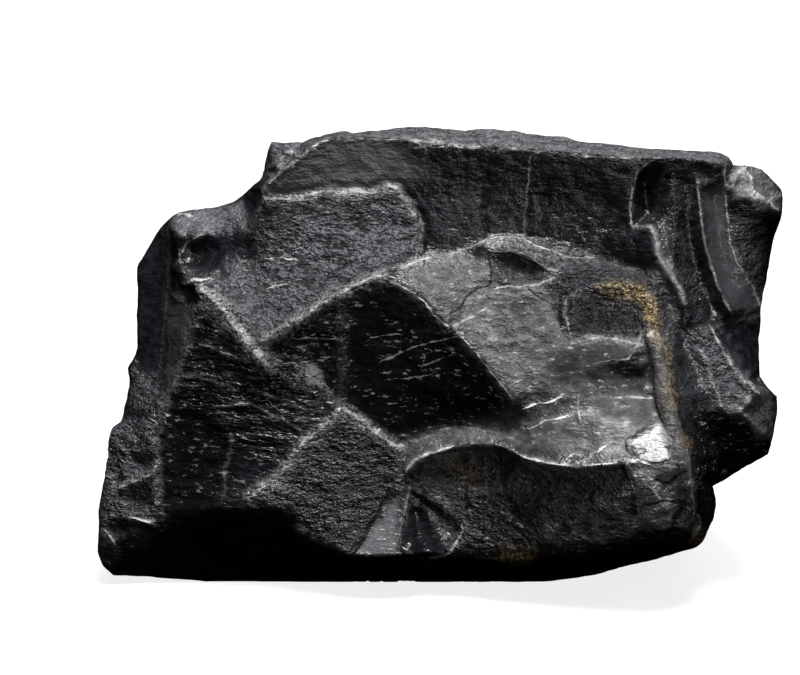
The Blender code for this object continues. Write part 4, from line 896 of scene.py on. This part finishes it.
def glowing_floor():
    """A matt white sheet lit from below as well, which keeps the stone's shadow faint."""
    material = blank_material("white floor")
    tree = material.node_tree
    looks = {
        "Base Color": linear("8c8c8c"),
        "Roughness": 1.0,
        "Emission Color": linear("ffffff"),
        "Emission Strength": FLOOR_GLOW,
        "Specular IOR Level": 0.0,
    }
    add(tree, "OutputMaterial", {"Surface": add(tree, "BsdfPrincipled", looks)})
    return material


def add_floor():
    """The sheet under the stone, which neither shows in it nor lights it."""
    bpy.ops.mesh.primitive_plane_add(size=FLOOR_SIZE, location=(0, 0, 0))
    floor = bpy.context.active_object
    floor.name = "floor"
    floor.data.materials.append(glowing_floor())
    floor.visible_glossy = False
    floor.visible_diffuse = False


def add_camera():
    """A long lens straight out of the leaning face; 120 mm there fills the frame's width."""
    across, up, out = AIM
    aim = FACE_ORIGIN + across * ACROSS + up * UP + out * OUT
    camera = bpy.data.objects.new("camera", bpy.data.cameras.new("camera"))
    camera.data.sensor_width = SENSOR
    camera.data.lens = LENS
    camera.data.clip_end = CAMERA_REACH
    camera.matrix_world = Matrix((ACROSS, UP, OUT)).transposed().to_4x4()
    camera.location = Vector(aim * 0.001) + Vector(OUT) * CAMERA_AWAY
    bpy.context.scene.collection.objects.link(camera)
    bpy.context.scene.camera = camera


def add_light(name, side, rise, away, size, power):
    """One soft box of the list above, turned to the stone."""
    data = bpy.data.lights.new(name, "AREA")
    data.shape = "SQUARE"
    data.size = size
    data.energy = power
    light = bpy.data.objects.new(name, data)
    a, e = math.radians(side), math.radians(rise)
    direction = Vector((math.sin(a) * math.cos(e), -math.cos(a) * math.cos(e), math.sin(e)))
    light.location = Vector(LIT_POINT) + direction * away
    light.rotation_euler = direction.to_track_quat("Z", "Y").to_euler()
    bpy.context.scene.collection.objects.link(light)


def add_world():
    """White behind everything, and a dim even glow on the stone from above."""
    world = bpy.data.worlds.new("studio")
    bpy.context.scene.world = world
    world.use_nodes = True
    tree = world.node_tree
    tree.nodes.clear()
    rise = add(tree, "SeparateXYZ", [add(tree, "TexCoord", output="Generated")], output="Z")
    sky = add(tree, "MapRange", [rise, *SKY_RISE, 0.0, SKY])
    seen = add(tree, "LightPath", output="Is Camera Ray")
    strength = add(tree, "Math", [sky, seen], operation="MAXIMUM")
    glow = add(tree, "Background", {"Color": linear("ffffff"), "Strength": strength})
    add(tree, "OutputWorld", {"Surface": glow})


def main():
    stone = finer_copy(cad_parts["shungite_stone"])
    found = survey(stone.data)
    carve(stone.data, found)
    note(stone.data, found)
    stone.data.materials.clear()
    stone.data.materials.append(broken_shungite())
    stone.data.shade_smooth()
    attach(stone, "root")
    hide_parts("shungite_stone")
    add_floor()
    add_camera()
    add_world()
    for light in LIGHTS:
        add_light(*light)
    bpy.context.scene.view_settings.view_transform = "Standard"


main()
